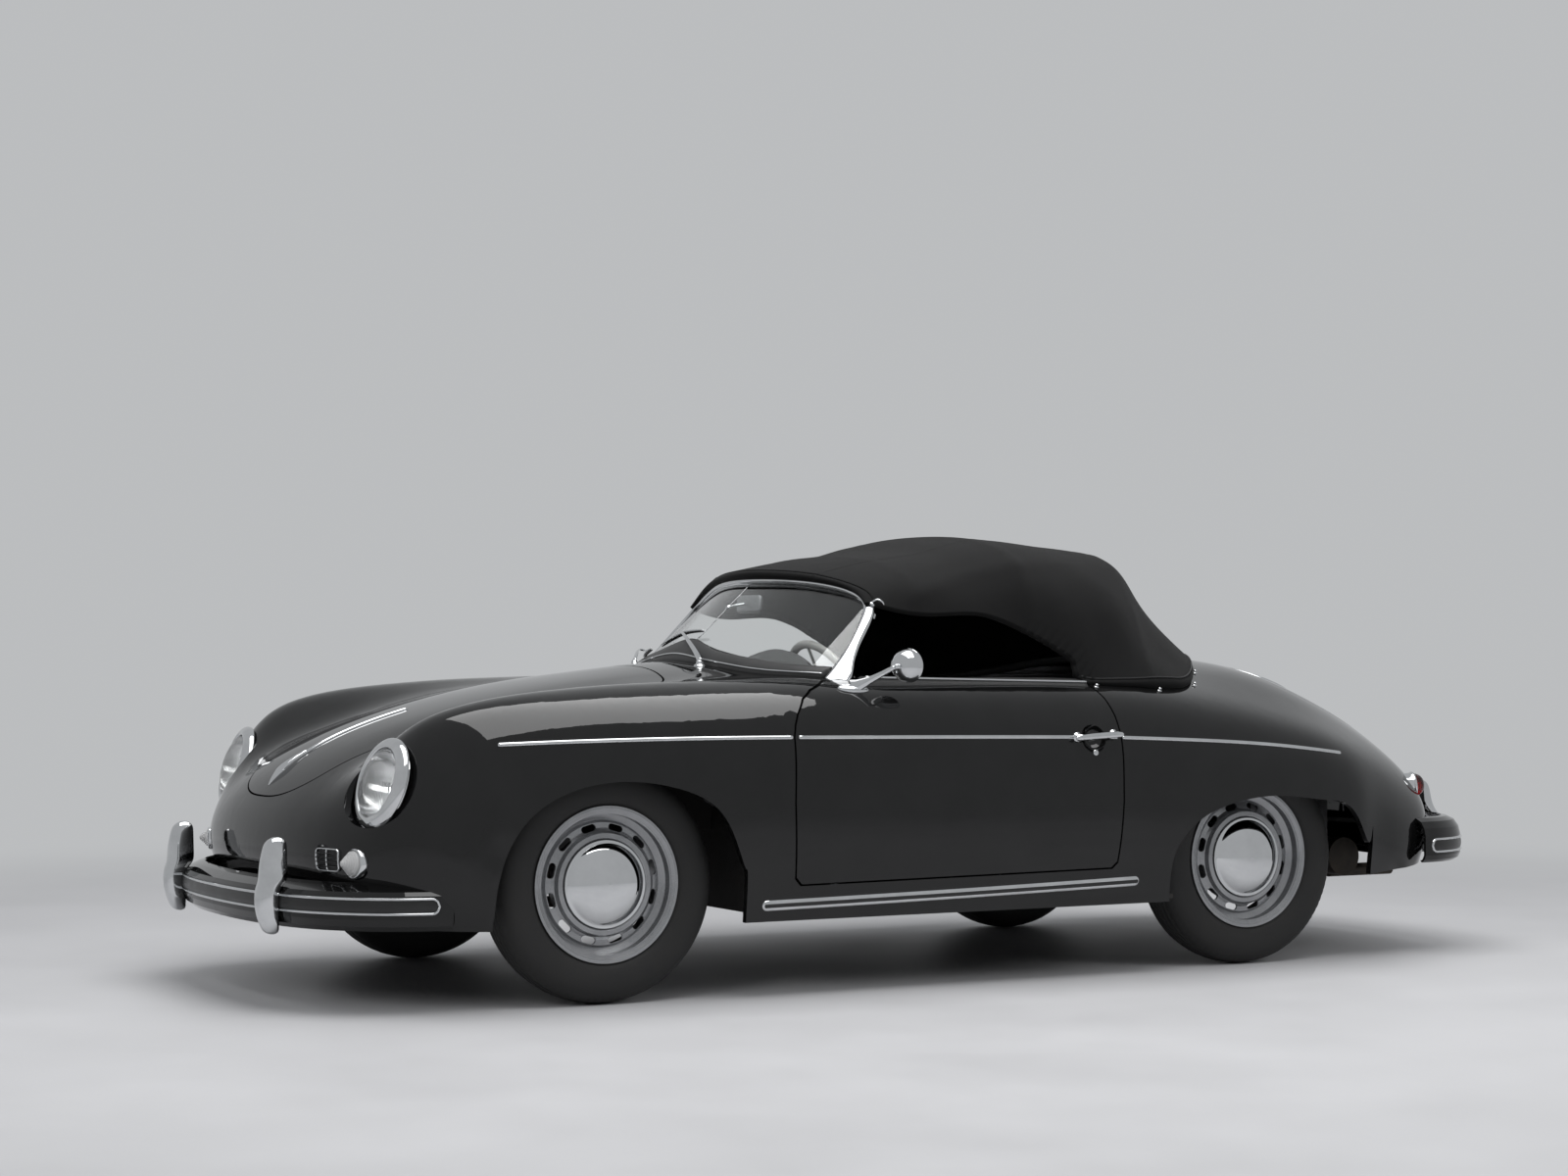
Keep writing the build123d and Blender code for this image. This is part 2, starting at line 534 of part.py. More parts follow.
def lamp(side):
    plane = facing(LAMP_AT, LAMP_AIM, side)
    bowl = [(0, -90), (70, -80), (104, -20), (104, 4), (118, 4), (120, 12), (112, 22), (98, 24),
            (80, 32), (45, 40), (0, 43)]
    return turned(plane, bowl)


lamps = [lamp(1), lamp(-1)]
with BuildPart() as headlamps:
    add(lamps)


def turn_lamp(side):
    plane = facing((580, FRONT_AXLE - 640, 384), (0.2, -0.975, 0.06), side)
    cone = [(0, -20), (35, -20), (35, 12), (31, 18), (30, 26), (25, 29), (24, 36), (18, 39), (16, 46), (8, 50), (0, 51)]
    return outside(turned(plane, cone))


lamps = [turn_lamp(1), turn_lamp(-1)]
with BuildPart() as turn_lamps:
    add(lamps)


def tail_lamp(side):
    plane = facing((556, 1712, 506), (0.40, 0.91, 0.10), side)
    cup = [(0, -60), (40, -60), (42, 0), (39, 10), (30, 32), (20, 40), (0, 43)]
    return outside(turned(plane, cup))


lamps = [tail_lamp(1), tail_lamp(-1)]
with BuildPart() as tail_lamps:
    add(lamps)


# bumpers: a blade bent round the nose and the tail, with a ribbed strip
BUMPER_F = [(0, -1968), (220, -1958), (400, -1926), (540, -1872), (640, -1792), (700, -1706),
            (732, -1610), (738, -1570)]
BUMPER_R = [(0, 1979), (220, 1970), (400, 1944), (540, 1900), (640, 1834), (704, 1750), (730, 1670),
            (734, 1616)]
FRONT_LIFT, REAR_LIFT = 280, 330
# sections: depth inwards from the outer face, height from the blade's centre
FRONT_BLADE = [(0, -34), (0, 26), (8, 36), (40, 50), (58, 56), (62, 52), (44, 44), (14, 30), (7, 22),
               (7, -34), (16, -52), (26, -60), (22, -65), (6, -52)]
REAR_BLADE = [(0, -30), (0, 28), (-6, 52), (-20, 72), (-42, 82), (-58, 84), (-62, 80), (-46, 76),
              (-26, 66), (-14, 50), (-8, 28), (-8, -30), (-16, -44), (-24, -46), (-18, -52), (-6, -44)]


def blade(path, profile, lift):
    """Sweep a blade's section along half a plan curve; the right half mirrors the left."""
    (x0, y0), (x1, y1) = path[-2:]
    half = Spline(*[(x, y, lift) for x, y in path], tangents=[(1, 0, 0), (x1 - x0, y1 - y0, 0)])
    start = Plane(origin=half @ 0, x_dir=(0, 1, 0), z_dir=(1, 0, 0))
    one = sweep(start * make_face(Polyline(*profile, close=True)), path=half)
    return [outside(one), outside(mirror(one, about=Plane.YZ))]


front_halves = blade(BUMPER_F, FRONT_BLADE, FRONT_LIFT)
rear_halves = blade(BUMPER_R, REAR_BLADE, REAR_LIFT)
with BuildPart() as front_bumper:
    add(front_halves)
with BuildPart() as rear_bumper:
    add(rear_halves)

# overriders: side outlines as (distance outwards from the blade, height above its centre),
# and half widths at heights, both from the foot up
FRONT_HORN = [(-12, -56), (-4, -78), (12, -84), (34, -74), (50, -40), (58, -4), (52, 40), (44, 90),
              (36, 140), (30, 158), (18, 168), (-10, 168), (-22, 162), (-28, 148), (-26, 100),
              (-28, 60), (-36, 46), (-10, 33), (-4, 26), (-4, -34)]
REAR_HORN = [(-10, -46), (0, -60), (12, -64), (28, -50), (38, -20), (40, 0), (34, 30), (14, 52),
             (-8, 68), (-20, 86), (-30, 120), (-38, 160), (-43, 176), (-52, 181), (-62, 176), (-67, 163),
             (-66, 130), (-62, 81), (-24, 70), (-10, 50), (-4, 28), (-4, -30)]
FRONT_TAPER = [(16, -84), (25, -55), (27, 0), (26, 60), (22, 130), (17, 160), (8, 168)]
REAR_TAPER = [(14, -64), (22, -40), (24, 0), (23, 60), (19, 130), (15, 170), (8, 181)]


def overrider(x, y, lift, back, outline, taper, blade_part):
    """A tall tapering horn hooked over the blade. 'back' is -1 in front, +1 at the rear."""
    side = prism(Plane.YZ.offset(x), [(y + back * a, lift + b) for a, b in outline], 60)
    ring = [(x + w, lift + h) for w, h in taper] + [(x - w, lift + h) for w, h in reversed(taper)]
    horn = (side & prism(Plane.XZ, ring, 2200)) - blade_part
    return horn.solids().sort_by(SortBy.VOLUME)[-1]


horns = [overrider(400, BUMPER_F[2][1], FRONT_LIFT, -1, FRONT_HORN, FRONT_TAPER, front_halves[0])]
horns += [mirror(horns[0], about=Plane.YZ)]
tail_horns = [overrider(400, BUMPER_R[2][1], REAR_LIFT, 1, REAR_HORN, REAR_TAPER, rear_halves[0])]
tail_horns += [mirror(tail_horns[0], about=Plane.YZ)]
with BuildPart() as front_overriders:
    add(horns)
with BuildPart() as rear_overriders:
    add(tail_horns)


grille = outside(slab(448, 540, -1842, -1740, 362, 420))
horn_block = [grille, mirror(grille, about=Plane.YZ)]
with BuildPart() as horn_grilles:
    add(horn_block)

# door furniture
handle = (rod((845, 270, 684), (846, 410, 690), 9) + outside(rod((800, 277, 684), (845, 277, 684), 8))
          + outside(rod((800, 402, 690), (846, 402, 690), 8)))
with BuildPart() as door_handle_left:
    add(handle)
with BuildPart() as door_handle_right:
    mirror(door_handle_left.part, about=Plane.YZ)
stalk = outside(rod((716, -400, 800), (785, -275, 886), 8) + rod((785, -300, 886), (785, -262, 886), 14))
disc = rod((785, -262, 886), (785, -248, 886), 56)
with BuildPart() as door_mirror:
    add(stalk)
    add(disc)


def wiper(x):
    """A short spindle through the cowl with its arm lying towards the car's right."""
    spindle = outside(rod((x, -608, 850), (x, -608, 922), 10))
    return spindle + rod((x, -608, 916), (x - 170, -560, 950), 5)


wiper_pair = [wiper(231), wiper(-200)]
with BuildPart() as wipers:
    add(wiper_pair)
handle = outside(slab(-9, 9, -1790, -1755, 560, 640))
with BuildPart() as bonnet_handle:
    add(handle)
named = dict(front_body=front_body, rear_body=rear_body, sills=sills, floor_pan=floor_pan,
             door_left=door_left, door_right=door_right, bonnet=bonnet, engine_lid=engine_lid,
             windscreen_frame=windscreen_frame, windscreen_glass=windscreen_glass,
             inside_mirror=inside_mirror, hood=hood, hood_pane=hood_pane, dashboard=dashboard,
             steering_wheel=steering_wheel, seat_left=seat_left, seat_right=seat_right,
             front_axle=front_axle, knuckle_left=knuckle_left, knuckle_right=knuckle_right,
             rear_axle=rear_axle, engine=engine, exhaust=exhaust, headlamps=headlamps,
             turn_lamps=turn_lamps, tail_lamps=tail_lamps, front_bumper=front_bumper,
             rear_bumper=rear_bumper, front_overriders=front_overriders,
             rear_overriders=rear_overriders, horn_grilles=horn_grilles,
             door_handle_left=door_handle_left, door_handle_right=door_handle_right,
             door_mirror=door_mirror, wipers=wipers, bonnet_handle=bonnet_handle, **wheels)
for name, piece in named.items():
    piece.part.label = name
    export_step(piece.part, f"parts/{name}.step")
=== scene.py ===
"""Looks of a small open two-seat car: paint, brightwork, lamps, tyres, folding hood, seats and cabin."""
import math

import bmesh
import bpy
import numpy as np
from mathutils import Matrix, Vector
from mathutils.bvhtree import BVHTree


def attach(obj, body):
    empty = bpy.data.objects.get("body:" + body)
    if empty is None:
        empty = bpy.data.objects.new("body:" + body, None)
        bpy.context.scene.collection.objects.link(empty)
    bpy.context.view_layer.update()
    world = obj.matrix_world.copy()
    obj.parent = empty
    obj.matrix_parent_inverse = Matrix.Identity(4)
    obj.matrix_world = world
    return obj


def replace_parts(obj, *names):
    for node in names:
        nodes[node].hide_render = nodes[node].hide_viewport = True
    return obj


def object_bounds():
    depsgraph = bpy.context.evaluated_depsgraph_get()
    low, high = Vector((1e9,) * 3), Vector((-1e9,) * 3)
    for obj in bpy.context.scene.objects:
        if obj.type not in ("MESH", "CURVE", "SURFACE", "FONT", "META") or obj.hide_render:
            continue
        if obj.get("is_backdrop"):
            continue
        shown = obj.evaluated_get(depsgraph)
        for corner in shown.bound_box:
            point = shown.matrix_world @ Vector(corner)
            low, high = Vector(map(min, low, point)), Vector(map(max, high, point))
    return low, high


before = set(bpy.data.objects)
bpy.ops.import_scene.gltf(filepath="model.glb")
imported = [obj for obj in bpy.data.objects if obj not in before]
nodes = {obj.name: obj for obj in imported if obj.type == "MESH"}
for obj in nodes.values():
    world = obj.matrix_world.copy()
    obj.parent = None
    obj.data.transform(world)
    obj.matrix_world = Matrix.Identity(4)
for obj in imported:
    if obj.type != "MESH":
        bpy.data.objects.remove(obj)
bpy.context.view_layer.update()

# driving positions, in metres: x to the car's left, -y to the front, z up
FRONT_AXLE, REAR_AXLE = -1.130, 0.970
TRACK_F, TRACK_R = 0.653, 0.636
TYRE_R = 0.316
SIDES = (("left", 1), ("right", -1))


# ---- shader groups
def new_group(name, inputs, outputs):
    """An empty shader group with named sockets; returns it with its input and output nodes."""
    group = bpy.data.node_groups.new(name, "ShaderNodeTree")
    for label, kind, value in inputs:
        s = group.interface.new_socket(label, in_out="INPUT", socket_type=kind)
        if value is not None:
            s.default_value = value
    for label, kind in outputs:
        group.interface.new_socket(label, in_out="OUTPUT", socket_type=kind)
    return group, group.nodes.new("NodeGroupInput"), group.nodes.new("NodeGroupOutput")


def node(tree, kind, values=None, **props):
    """A node with its properties and its unlinked socket values set."""
    n = tree.nodes.new(kind)
    for key, value in props.items():
        setattr(n, key, value)
    for key, value in (values or {}).items():
        n.inputs[key].default_value = value
    return n


def maths(tree, operation, a, b=None, c=None, clamp=False):
    """A Math node; each operand is a number or a socket."""
    n = node(tree, "ShaderNodeMath", operation=operation, use_clamp=clamp)
    for i, v in enumerate((a, b, c)):
        if v is None:
            continue
        if isinstance(v, (int, float)):
            n.inputs[i].default_value = v
        else:
            tree.links.new(v, n.inputs[i])
    return n.outputs[0]


def cloudy_group():
    """Slow clouds over fine specks: a colour between two, a roughness between two, and a height."""
    g, i, o = new_group("cloudy_finish", [
        ("Coordinates", "NodeSocketVector", None), ("Scale", "NodeSocketFloat", 6.0),
        ("Fine Scale", "NodeSocketFloat", 300.0), ("Colour A", "NodeSocketColor", (0, 0, 0, 1)),
        ("Colour B", "NodeSocketColor", (0, 0, 0, 1)), ("Rough A", "NodeSocketFloat", 0.1),
        ("Rough B", "NodeSocketFloat", 0.2)],
        [("Colour", "NodeSocketColor"), ("Roughness", "NodeSocketFloat"), ("Height", "NodeSocketFloat")])
    slow = node(g, "ShaderNodeTexNoise", {"Detail": 4.0, "Roughness": 0.6})
    fine = node(g, "ShaderNodeTexNoise", {"Detail": 2.0, "Roughness": 0.5})
    mix = node(g, "ShaderNodeMix", data_type="RGBA")
    for tex, scale in ((slow, "Scale"), (fine, "Fine Scale")):
        g.links.new(i.outputs["Coordinates"], tex.inputs["Vector"])
        g.links.new(i.outputs[scale], tex.inputs["Scale"])
    spread = maths(g, "MULTIPLY_ADD", slow.outputs[0], 2.6, -0.8, clamp=True)
    both = maths(g, "MULTIPLY_ADD", fine.outputs[0], 0.5, maths(g, "MULTIPLY", spread, 0.5))
    g.links.new(spread, mix.inputs[0])
    g.links.new(i.outputs["Colour A"], mix.inputs[6])
    g.links.new(i.outputs["Colour B"], mix.inputs[7])
    span = maths(g, "SUBTRACT", i.outputs["Rough B"], i.outputs["Rough A"])
    rough = maths(g, "MULTIPLY_ADD", both, span, i.outputs["Rough A"])
    g.links.new(mix.outputs[2], o.inputs["Colour"])
    g.links.new(rough, o.inputs["Roughness"])
    g.links.new(fine.outputs[0], o.inputs["Height"])
    return g


def weave_group():
    """Crossing threads: two sine waves at right angles take turns on top, with uneven yarn; the Shade output
    mixes the yarn's random tone with painted shade between the threads.
    """
    g, i, o = new_group("woven_threads", [
        ("Coordinates", "NodeSocketVector", None), ("Threads", "NodeSocketFloat", 900.0)],
        [("Height", "NodeSocketFloat"), ("Shade", "NodeSocketFloat")])
    sep = node(g, "ShaderNodeSeparateXYZ")
    g.links.new(i.outputs["Coordinates"], sep.inputs[0])
    waves = []
    for axis in (0, 1):
        turn = maths(g, "MULTIPLY", sep.outputs[axis], i.outputs["Threads"])
        waves.append((maths(g, "ABSOLUTE", maths(g, "SINE", turn)),
                      maths(g, "SINE", maths(g, "MULTIPLY", turn, 0.5))))
    over = maths(g, "GREATER_THAN", maths(g, "MULTIPLY", waves[0][1], waves[1][1]), 0.0)
    height = maths(g, "ADD", maths(g, "MULTIPLY", waves[0][0], over),
                   maths(g, "MULTIPLY", waves[1][0], maths(g, "SUBTRACT", 1.0, over)))
    yarn = node(g, "ShaderNodeTexNoise", {"Scale": 60.0, "Detail": 6.0, "Roughness": 0.7})
    g.links.new(i.outputs["Coordinates"], yarn.inputs["Vector"])
    g.links.new(height, o.inputs["Height"])
    # tone: uneven yarn, plus painted shade that darkens the colour where the thread height is low
    g.links.new(maths(g, "MULTIPLY_ADD", yarn.outputs[0], 0.7, maths(g, "MULTIPLY", height, 0.3)),
                o.inputs["Shade"])
    return g


def grain_group():
    """Leather grain: cracked cells at two sizes, low in the creases."""
    g, i, o = new_group("leather_grain", [
        ("Coordinates", "NodeSocketVector", None), ("Cells", "NodeSocketFloat", 350.0)],
        [("Height", "NodeSocketFloat"), ("Crease", "NodeSocketFloat")])
    cells = node(g, "ShaderNodeTexVoronoi", feature="DISTANCE_TO_EDGE")
    pores = node(g, "ShaderNodeTexVoronoi", feature="F1")
    g.links.new(i.outputs["Coordinates"], cells.inputs["Vector"])
    g.links.new(i.outputs["Coordinates"], pores.inputs["Vector"])
    g.links.new(i.outputs["Cells"], cells.inputs["Scale"])
    g.links.new(maths(g, "MULTIPLY", i.outputs["Cells"], 2.3), pores.inputs["Scale"])
    crease = maths(g, "MULTIPLY", cells.outputs[0], 5.0, clamp=True)
    g.links.new(maths(g, "MULTIPLY_ADD", pores.outputs[0], 0.25, crease), o.inputs["Height"])
    g.links.new(crease, o.inputs["Crease"])
    return g


CLOUDY, WEAVE, GRAIN = cloudy_group(), weave_group(), grain_group()


def base_material(name):
    """An empty material with one Principled shader and Object coordinates."""
    m = bpy.data.materials.new(name)
    m.use_nodes = True
    t = m.node_tree
    shader = t.nodes["Principled BSDF"]
    coords = t.nodes.new("ShaderNodeTexCoord")
    return m, t, shader, coords.outputs["Object"], coords.outputs["UV"]


def place_group(tree, group, coordinates, values=None):
    """One use of a shared group, fed with coordinates and its own values."""
    n = tree.nodes.new("ShaderNodeGroup")
    n.node_tree = group
    tree.links.new(coordinates, n.inputs["Coordinates"])
    for key, value in (values or {}).items():
        n.inputs[key].default_value = value
    return n


def bump(tree, shader, height, strength, distance):
    """Feeds a height into the shader's normal."""
    b = node(tree, "ShaderNodeBump", {"Strength": strength, "Distance": distance})
    tree.links.new(height, b.inputs["Height"])
    tree.links.new(b.outputs[0], shader.inputs["Normal"])


def clouds(tree, coordinates, scale, fine, rough, a=(0, 0, 0), b=(0, 0, 0)):
    """The shared cloudy finish between two colours and between two roughnesses."""
    return place_group(tree, CLOUDY, coordinates, {
        "Scale": scale, "Fine Scale": fine, "Colour A": (*a, 1), "Colour B": (*b, 1), "Rough A": rough[0],
        "Rough B": rough[1]})


def set_more(shader, sockets):
    """Sets further inputs of the shader, named with underscores for spaces."""
    for key, value in sockets.items():
        shader.inputs[key.replace("_", " ")].default_value = value


def finish(name, a, b, rough, metallic=0.0, scale=6.0, fine=300.0, dents=(0.05, 0.0002), **sockets):
    """A cloudy finish between colours a and b and between two roughnesses, with a fine bump."""
    m, t, shader, obj, _ = base_material(name)
    g = clouds(t, obj, scale, fine, rough, a, b)
    t.links.new(g.outputs["Colour"], shader.inputs["Base Color"])
    t.links.new(g.outputs["Roughness"], shader.inputs["Roughness"])
    if dents[0]:
        bump(t, shader, g.outputs["Height"], *dents)
    set_more(shader, {"Metallic": metallic, **sockets})
    return m


def grey(v):
    """A neutral grey, a touch cooler than equal parts."""
    return (v, v, v * 1.02)


def grained(name, a, b, cells, depth, rough):
    """Leather or moulded grain: cells in relief, worn slightly glossier on their tops."""
    m, t, shader, obj, _ = base_material(name)
    g = place_group(t, GRAIN, obj, {"Cells": cells})
    c = clouds(t, obj, 9.0, 60.0, rough, a, b)
    t.links.new(c.outputs["Colour"], shader.inputs["Base Color"])
    worn = maths(t, "MULTIPLY_ADD", g.outputs["Crease"], -0.08, c.outputs["Roughness"])
    t.links.new(worn, shader.inputs["Roughness"])
    bump(t, shader, g.outputs["Height"], 0.5, depth)
    return m


def woven(name, a, b, threads, depth, rough, uv=True, **sockets):
    """Cloth: crossing threads in relief; the colour carries uneven yarn tone and painted shade between the
    threads, so the yarn tops read lighter.
    """
    m, t, shader, obj, uvs = base_material(name)
    g = place_group(t, WEAVE, uvs if uv else obj, {"Threads": threads})
    c = clouds(t, obj, 3.0, 25.0, rough, a, b)
    # painted shade: besides the uneven yarn tone, the cloth's colour is multiplied down between the threads
    lit = node(t, "ShaderNodeMix", {0: 0.55}, data_type="RGBA", blend_type="MULTIPLY")
    t.links.new(c.outputs["Colour"], lit.inputs[6])
    shade = node(t, "ShaderNodeCombineXYZ")
    for k in range(3):
        t.links.new(g.outputs["Shade"], shade.inputs[k])
    t.links.new(shade.outputs[0], lit.inputs[7])
    t.links.new(lit.outputs[2], shader.inputs["Base Color"])
    t.links.new(c.outputs["Roughness"], shader.inputs["Roughness"])
    bump(t, shader, g.outputs["Height"], 0.6, depth)
    set_more(shader, sockets)
    return m


def clear(name, colour, rough=0.0, fluted=0.0, weight=1.0):
    """Glass, plain or with pressed flutes that run up and down."""
    m, t, shader, obj, _ = base_material(name)
    set_more(shader, {"Base_Color": (*colour, 1), "Transmission_Weight": weight, "IOR": 1.45})
    g = clouds(t, obj, 4.0, 90.0, (rough, rough + 0.02))
    t.links.new(g.outputs["Roughness"], shader.inputs["Roughness"])
    if fluted:
        wave = node(t, "ShaderNodeTexWave", {"Scale": fluted, "Distortion": 0.0}, bands_direction="X",
                    wave_profile="SIN")
        t.links.new(obj, wave.inputs["Vector"])
        bump(t, shader, wave.outputs[1], 0.35, 0.0015)
    return m


PAINT = finish("black_gloss_paint", grey(0.0035), grey(0.006), (0.09, 0.15), fine=420.0, dents=(0.03, 0.0001),
               Coat_Weight=1.0, Coat_Roughness=0.02, Coat_IOR=1.45, Specular_IOR_Level=0.0)
CHROME = finish("bright_chrome", (0.56, 0.57, 0.58), (0.66, 0.67, 0.68), (0.03, 0.08), 1.0, 12.0, 500.0,
                (0.02, 0.0001))
POLISHED = finish("polished_chrome", (0.58, 0.59, 0.60), (0.64, 0.65, 0.66), (0.015, 0.03), 1.0, 12.0, 500.0,
                  (0.0, 0.0))
SATIN = finish("satin_steel", grey(0.42), grey(0.55), (0.22, 0.38), 1.0, 14.0, 600.0, (0.08, 0.0002))
SILVER = finish("silver_wheel_enamel", (0.25, 0.255, 0.265), (0.31, 0.315, 0.325), (0.20, 0.28), 0.75, 18.0,
                700.0, (0.05, 0.0001), Coat_Weight=0.5, Coat_Roughness=0.12)
UNDER = finish("underside_coating", grey(0.010), (0.030, 0.027, 0.024), (0.55, 0.85), 0.0, 5.0, 220.0,
               (0.5, 0.0015))
IRON = finish("cast_iron", (0.045, 0.043, 0.041), (0.10, 0.085, 0.07), (0.5, 0.75), 0.7, 20.0, 400.0,
              (0.4, 0.0008))
ALLOY = finish("cast_alloy", grey(0.11), grey(0.17), (0.4, 0.6), 0.9, 16.0, 350.0, (0.35, 0.0007))
SOOTY = finish("sooty_exhaust_steel", (0.030, 0.026, 0.022), (0.075, 0.060, 0.048), (0.5, 0.7), 0.6, 9.0,
               260.0, (0.3, 0.0006))
DASH_TOP = grained("dash_top_trim", grey(0.060), grey(0.085), 700.0, 0.0004, (0.45, 0.6))
SEAL = finish("black_rubber", grey(0.007), grey(0.014), (0.35, 0.55), 0.0, 20.0, 500.0, (0.15, 0.0003))
RIBBED = finish("bumper_strip_rubber", grey(0.006), grey(0.011), (0.25, 0.4), 0.0, 20.0, 500.0, (0.1, 0.0002))
TYRE = finish("tyre_rubber", grey(0.009), (0.017, 0.0165, 0.016), (0.62, 0.85), 0.0, 12.0, 260.0,
              (0.3, 0.0004))
IVORY = finish("light_grey_moulding", (0.34, 0.335, 0.32), (0.42, 0.41, 0.395), (0.28, 0.4), 0.0, 8.0, 300.0,
               (0.05, 0.0002), Coat_Weight=0.3, Coat_Roughness=0.2)
LEATHER = grained("black_leather", grey(0.012), grey(0.022), 420.0, 0.0006, (0.38, 0.55))
LEATHERETTE = grained("grained_trim", grey(0.009), grey(0.015), 700.0, 0.0004, (0.45, 0.6))
CLOTH = woven("hood_cloth", grey(0.0035), grey(0.007), 2400.0, 0.0004, (0.85, 0.97),
              Sheen_Weight=0.05, Sheen_Roughness=0.4, Specular_IOR_Level=0.25)
CARPET = woven("square_weave_carpet", grey(0.010), grey(0.020), 900.0, 0.0012, (0.9, 1.0), uv=False,
               Sheen_Weight=0.4, Sheen_Roughness=0.5)
GLASS = clear("window_glass", (0.95, 0.97, 0.965), 0.0)
FLUTED = clear("fluted_lens", (0.96, 0.97, 0.96), 0.0, fluted=55.0)
STEPPED = clear("stepped_lens", (0.97, 0.97, 0.97), 0.02, weight=0.55)
RED_LENS = clear("red_lens", (0.55, 0.01, 0.012), 0.03, fluted=90.0)
REFLECTOR = finish("lamp_reflector", grey(0.80), grey(0.88), (0.06, 0.1), 1.0, 30.0, 500.0, (0.0, 0.0))
DIAL = finish("dial_face", grey(0.006), grey(0.009), (0.4, 0.5), 0.0, 20.0, 500.0, (0.05, 0.0001))
MARKING = finish("dial_marking", (0.25, 0.42, 0.22), (0.3, 0.48, 0.26), (0.4, 0.5), 0.0, 20.0, 500.0,
                 (0.0, 0.0))
WHITE = finish("plate_white", grey(0.60), grey(0.66), (0.35, 0.5), 0.0, 8.0, 300.0, (0.03, 0.0001))

CORNERS = [f"{end}_{side}" for end in ("front", "rear") for side, _ in SIDES]
CAD_LOOK = {
    PAINT: ("front_body", "rear_body", "sills", "door_left", "door_right", "bonnet", "engine_lid",
            "front_bumper", "rear_bumper"),
    CHROME: ("windscreen_frame", "front_overriders", "rear_overriders", "wipers", "door_mirror",
             "door_handle_left", "door_handle_right", "bonnet_handle", "horn_grilles", "headlamps",
             *(f"hubcap_{corner}" for corner in CORNERS)),
    IRON: ("front_axle", "knuckle_left", "knuckle_right", "rear_axle"),
    GLASS: ("windscreen_glass", "hood_pane"), LEATHER: ("seat_left", "seat_right"), UNDER: ("floor_pan",),
    LEATHERETTE: ("dashboard",), IVORY: ("steering_wheel",), ALLOY: ("engine",), SOOTY: ("exhaust",),
    STEPPED: ("turn_lamps",), RED_LENS: ("tail_lamps",), CLOTH: ("hood",), DIAL: ("inside_mirror",),
    TYRE: [f"tyre_{corner}" for corner in CORNERS], SILVER: [f"rim_{corner}" for corner in CORNERS],
}
for material, names in CAD_LOOK.items():
    for name in names:
        mesh = nodes[name].data
        mesh.materials.clear()
        mesh.materials.append(material)

WHEELS = [(f"{end}_{side}", (s * x, y, TYRE_R), s) for end, x, y in (("front", TRACK_F, FRONT_AXLE),
                                                                     ("rear", TRACK_R, REAR_AXLE)) for side,
          s in SIDES]


# ---- shapes worked out with numpy
def unit(v):
    """Each vector along the last axis, scaled to length 1."""
    return v / np.maximum(np.linalg.norm(v, axis=-1, keepdims=True), 1e-12)


def travelled(line):
    """How far along a line each of its points lies."""
    return np.concatenate([[0], np.cumsum(np.linalg.norm(np.diff(line, axis=0), axis=1))])


def natural(t, p, count):
    """Natural cubic curve through p at knots t, at evenly spaced values."""
    n, h = len(t), np.diff(t)
    a, b = np.eye(n), np.zeros_like(p)
    for i in range(1, n - 1):
        a[i, i - 1:i + 2] = h[i - 1], 2 * (h[i - 1] + h[i]), h[i]
        b[i] = 6 * ((p[i + 1] - p[i]) / h[i] - (p[i] - p[i - 1]) / h[i - 1])
    m = np.linalg.solve(a, b.reshape(n, -1)).reshape(p.shape)
    at = np.linspace(0, t[-1], count)
    i = np.clip(np.searchsorted(t, at) - 1, 0, n - 2)
    s = (slice(None),) + (None,) * (p.ndim - 1)
    left, right, w = (t[i + 1] - at)[s], (at - t[i])[s], h[i][s]
    return ((m[i] * left ** 3 + m[i + 1] * right ** 3) / (6 * w) + (p[i] / w - m[i] * w / 6) * left
            + (p[i + 1] / w - m[i + 1] * w / 6) * right)


def spline(points, count):
    """Points evenly spaced along the natural cubic curve through the given points."""
    p = np.asarray(points, float)
    knots = np.concatenate([[0], np.cumsum(np.linalg.norm(np.diff(p, axis=0), axis=1) ** 0.5)])
    dense = natural(knots, p, 60 * len(p))
    s = travelled(dense)
    want = np.linspace(0, s[-1], count)
    return np.stack([np.interp(want, s, column) for column in dense.T], axis=1)


def quads(rows, cols, wrap_u=False, wrap_v=False):
    """The faces between neighbouring points of a grid, as point numbers."""
    i = np.arange(rows if wrap_u else rows - 1)[:, None]
    j = np.arange(cols if wrap_v else cols - 1)[None]
    below, beside = (i + 1) % rows * cols, (j + 1) % cols
    ring = [i * cols + j, below + j, below + beside, i * cols + beside]
    return np.stack(np.broadcast_arrays(*ring), -1).reshape(-1, 4)


def surface(name, points, material, body="body", wrap_u=False, wrap_v=True):
    """A mesh of quads between neighbouring points of a grid; poles are merged and normals turned outwards."""
    return mesh_piece(name, points.reshape(-1, 3), quads(*points.shape[:2], wrap_u, wrap_v), material, body)


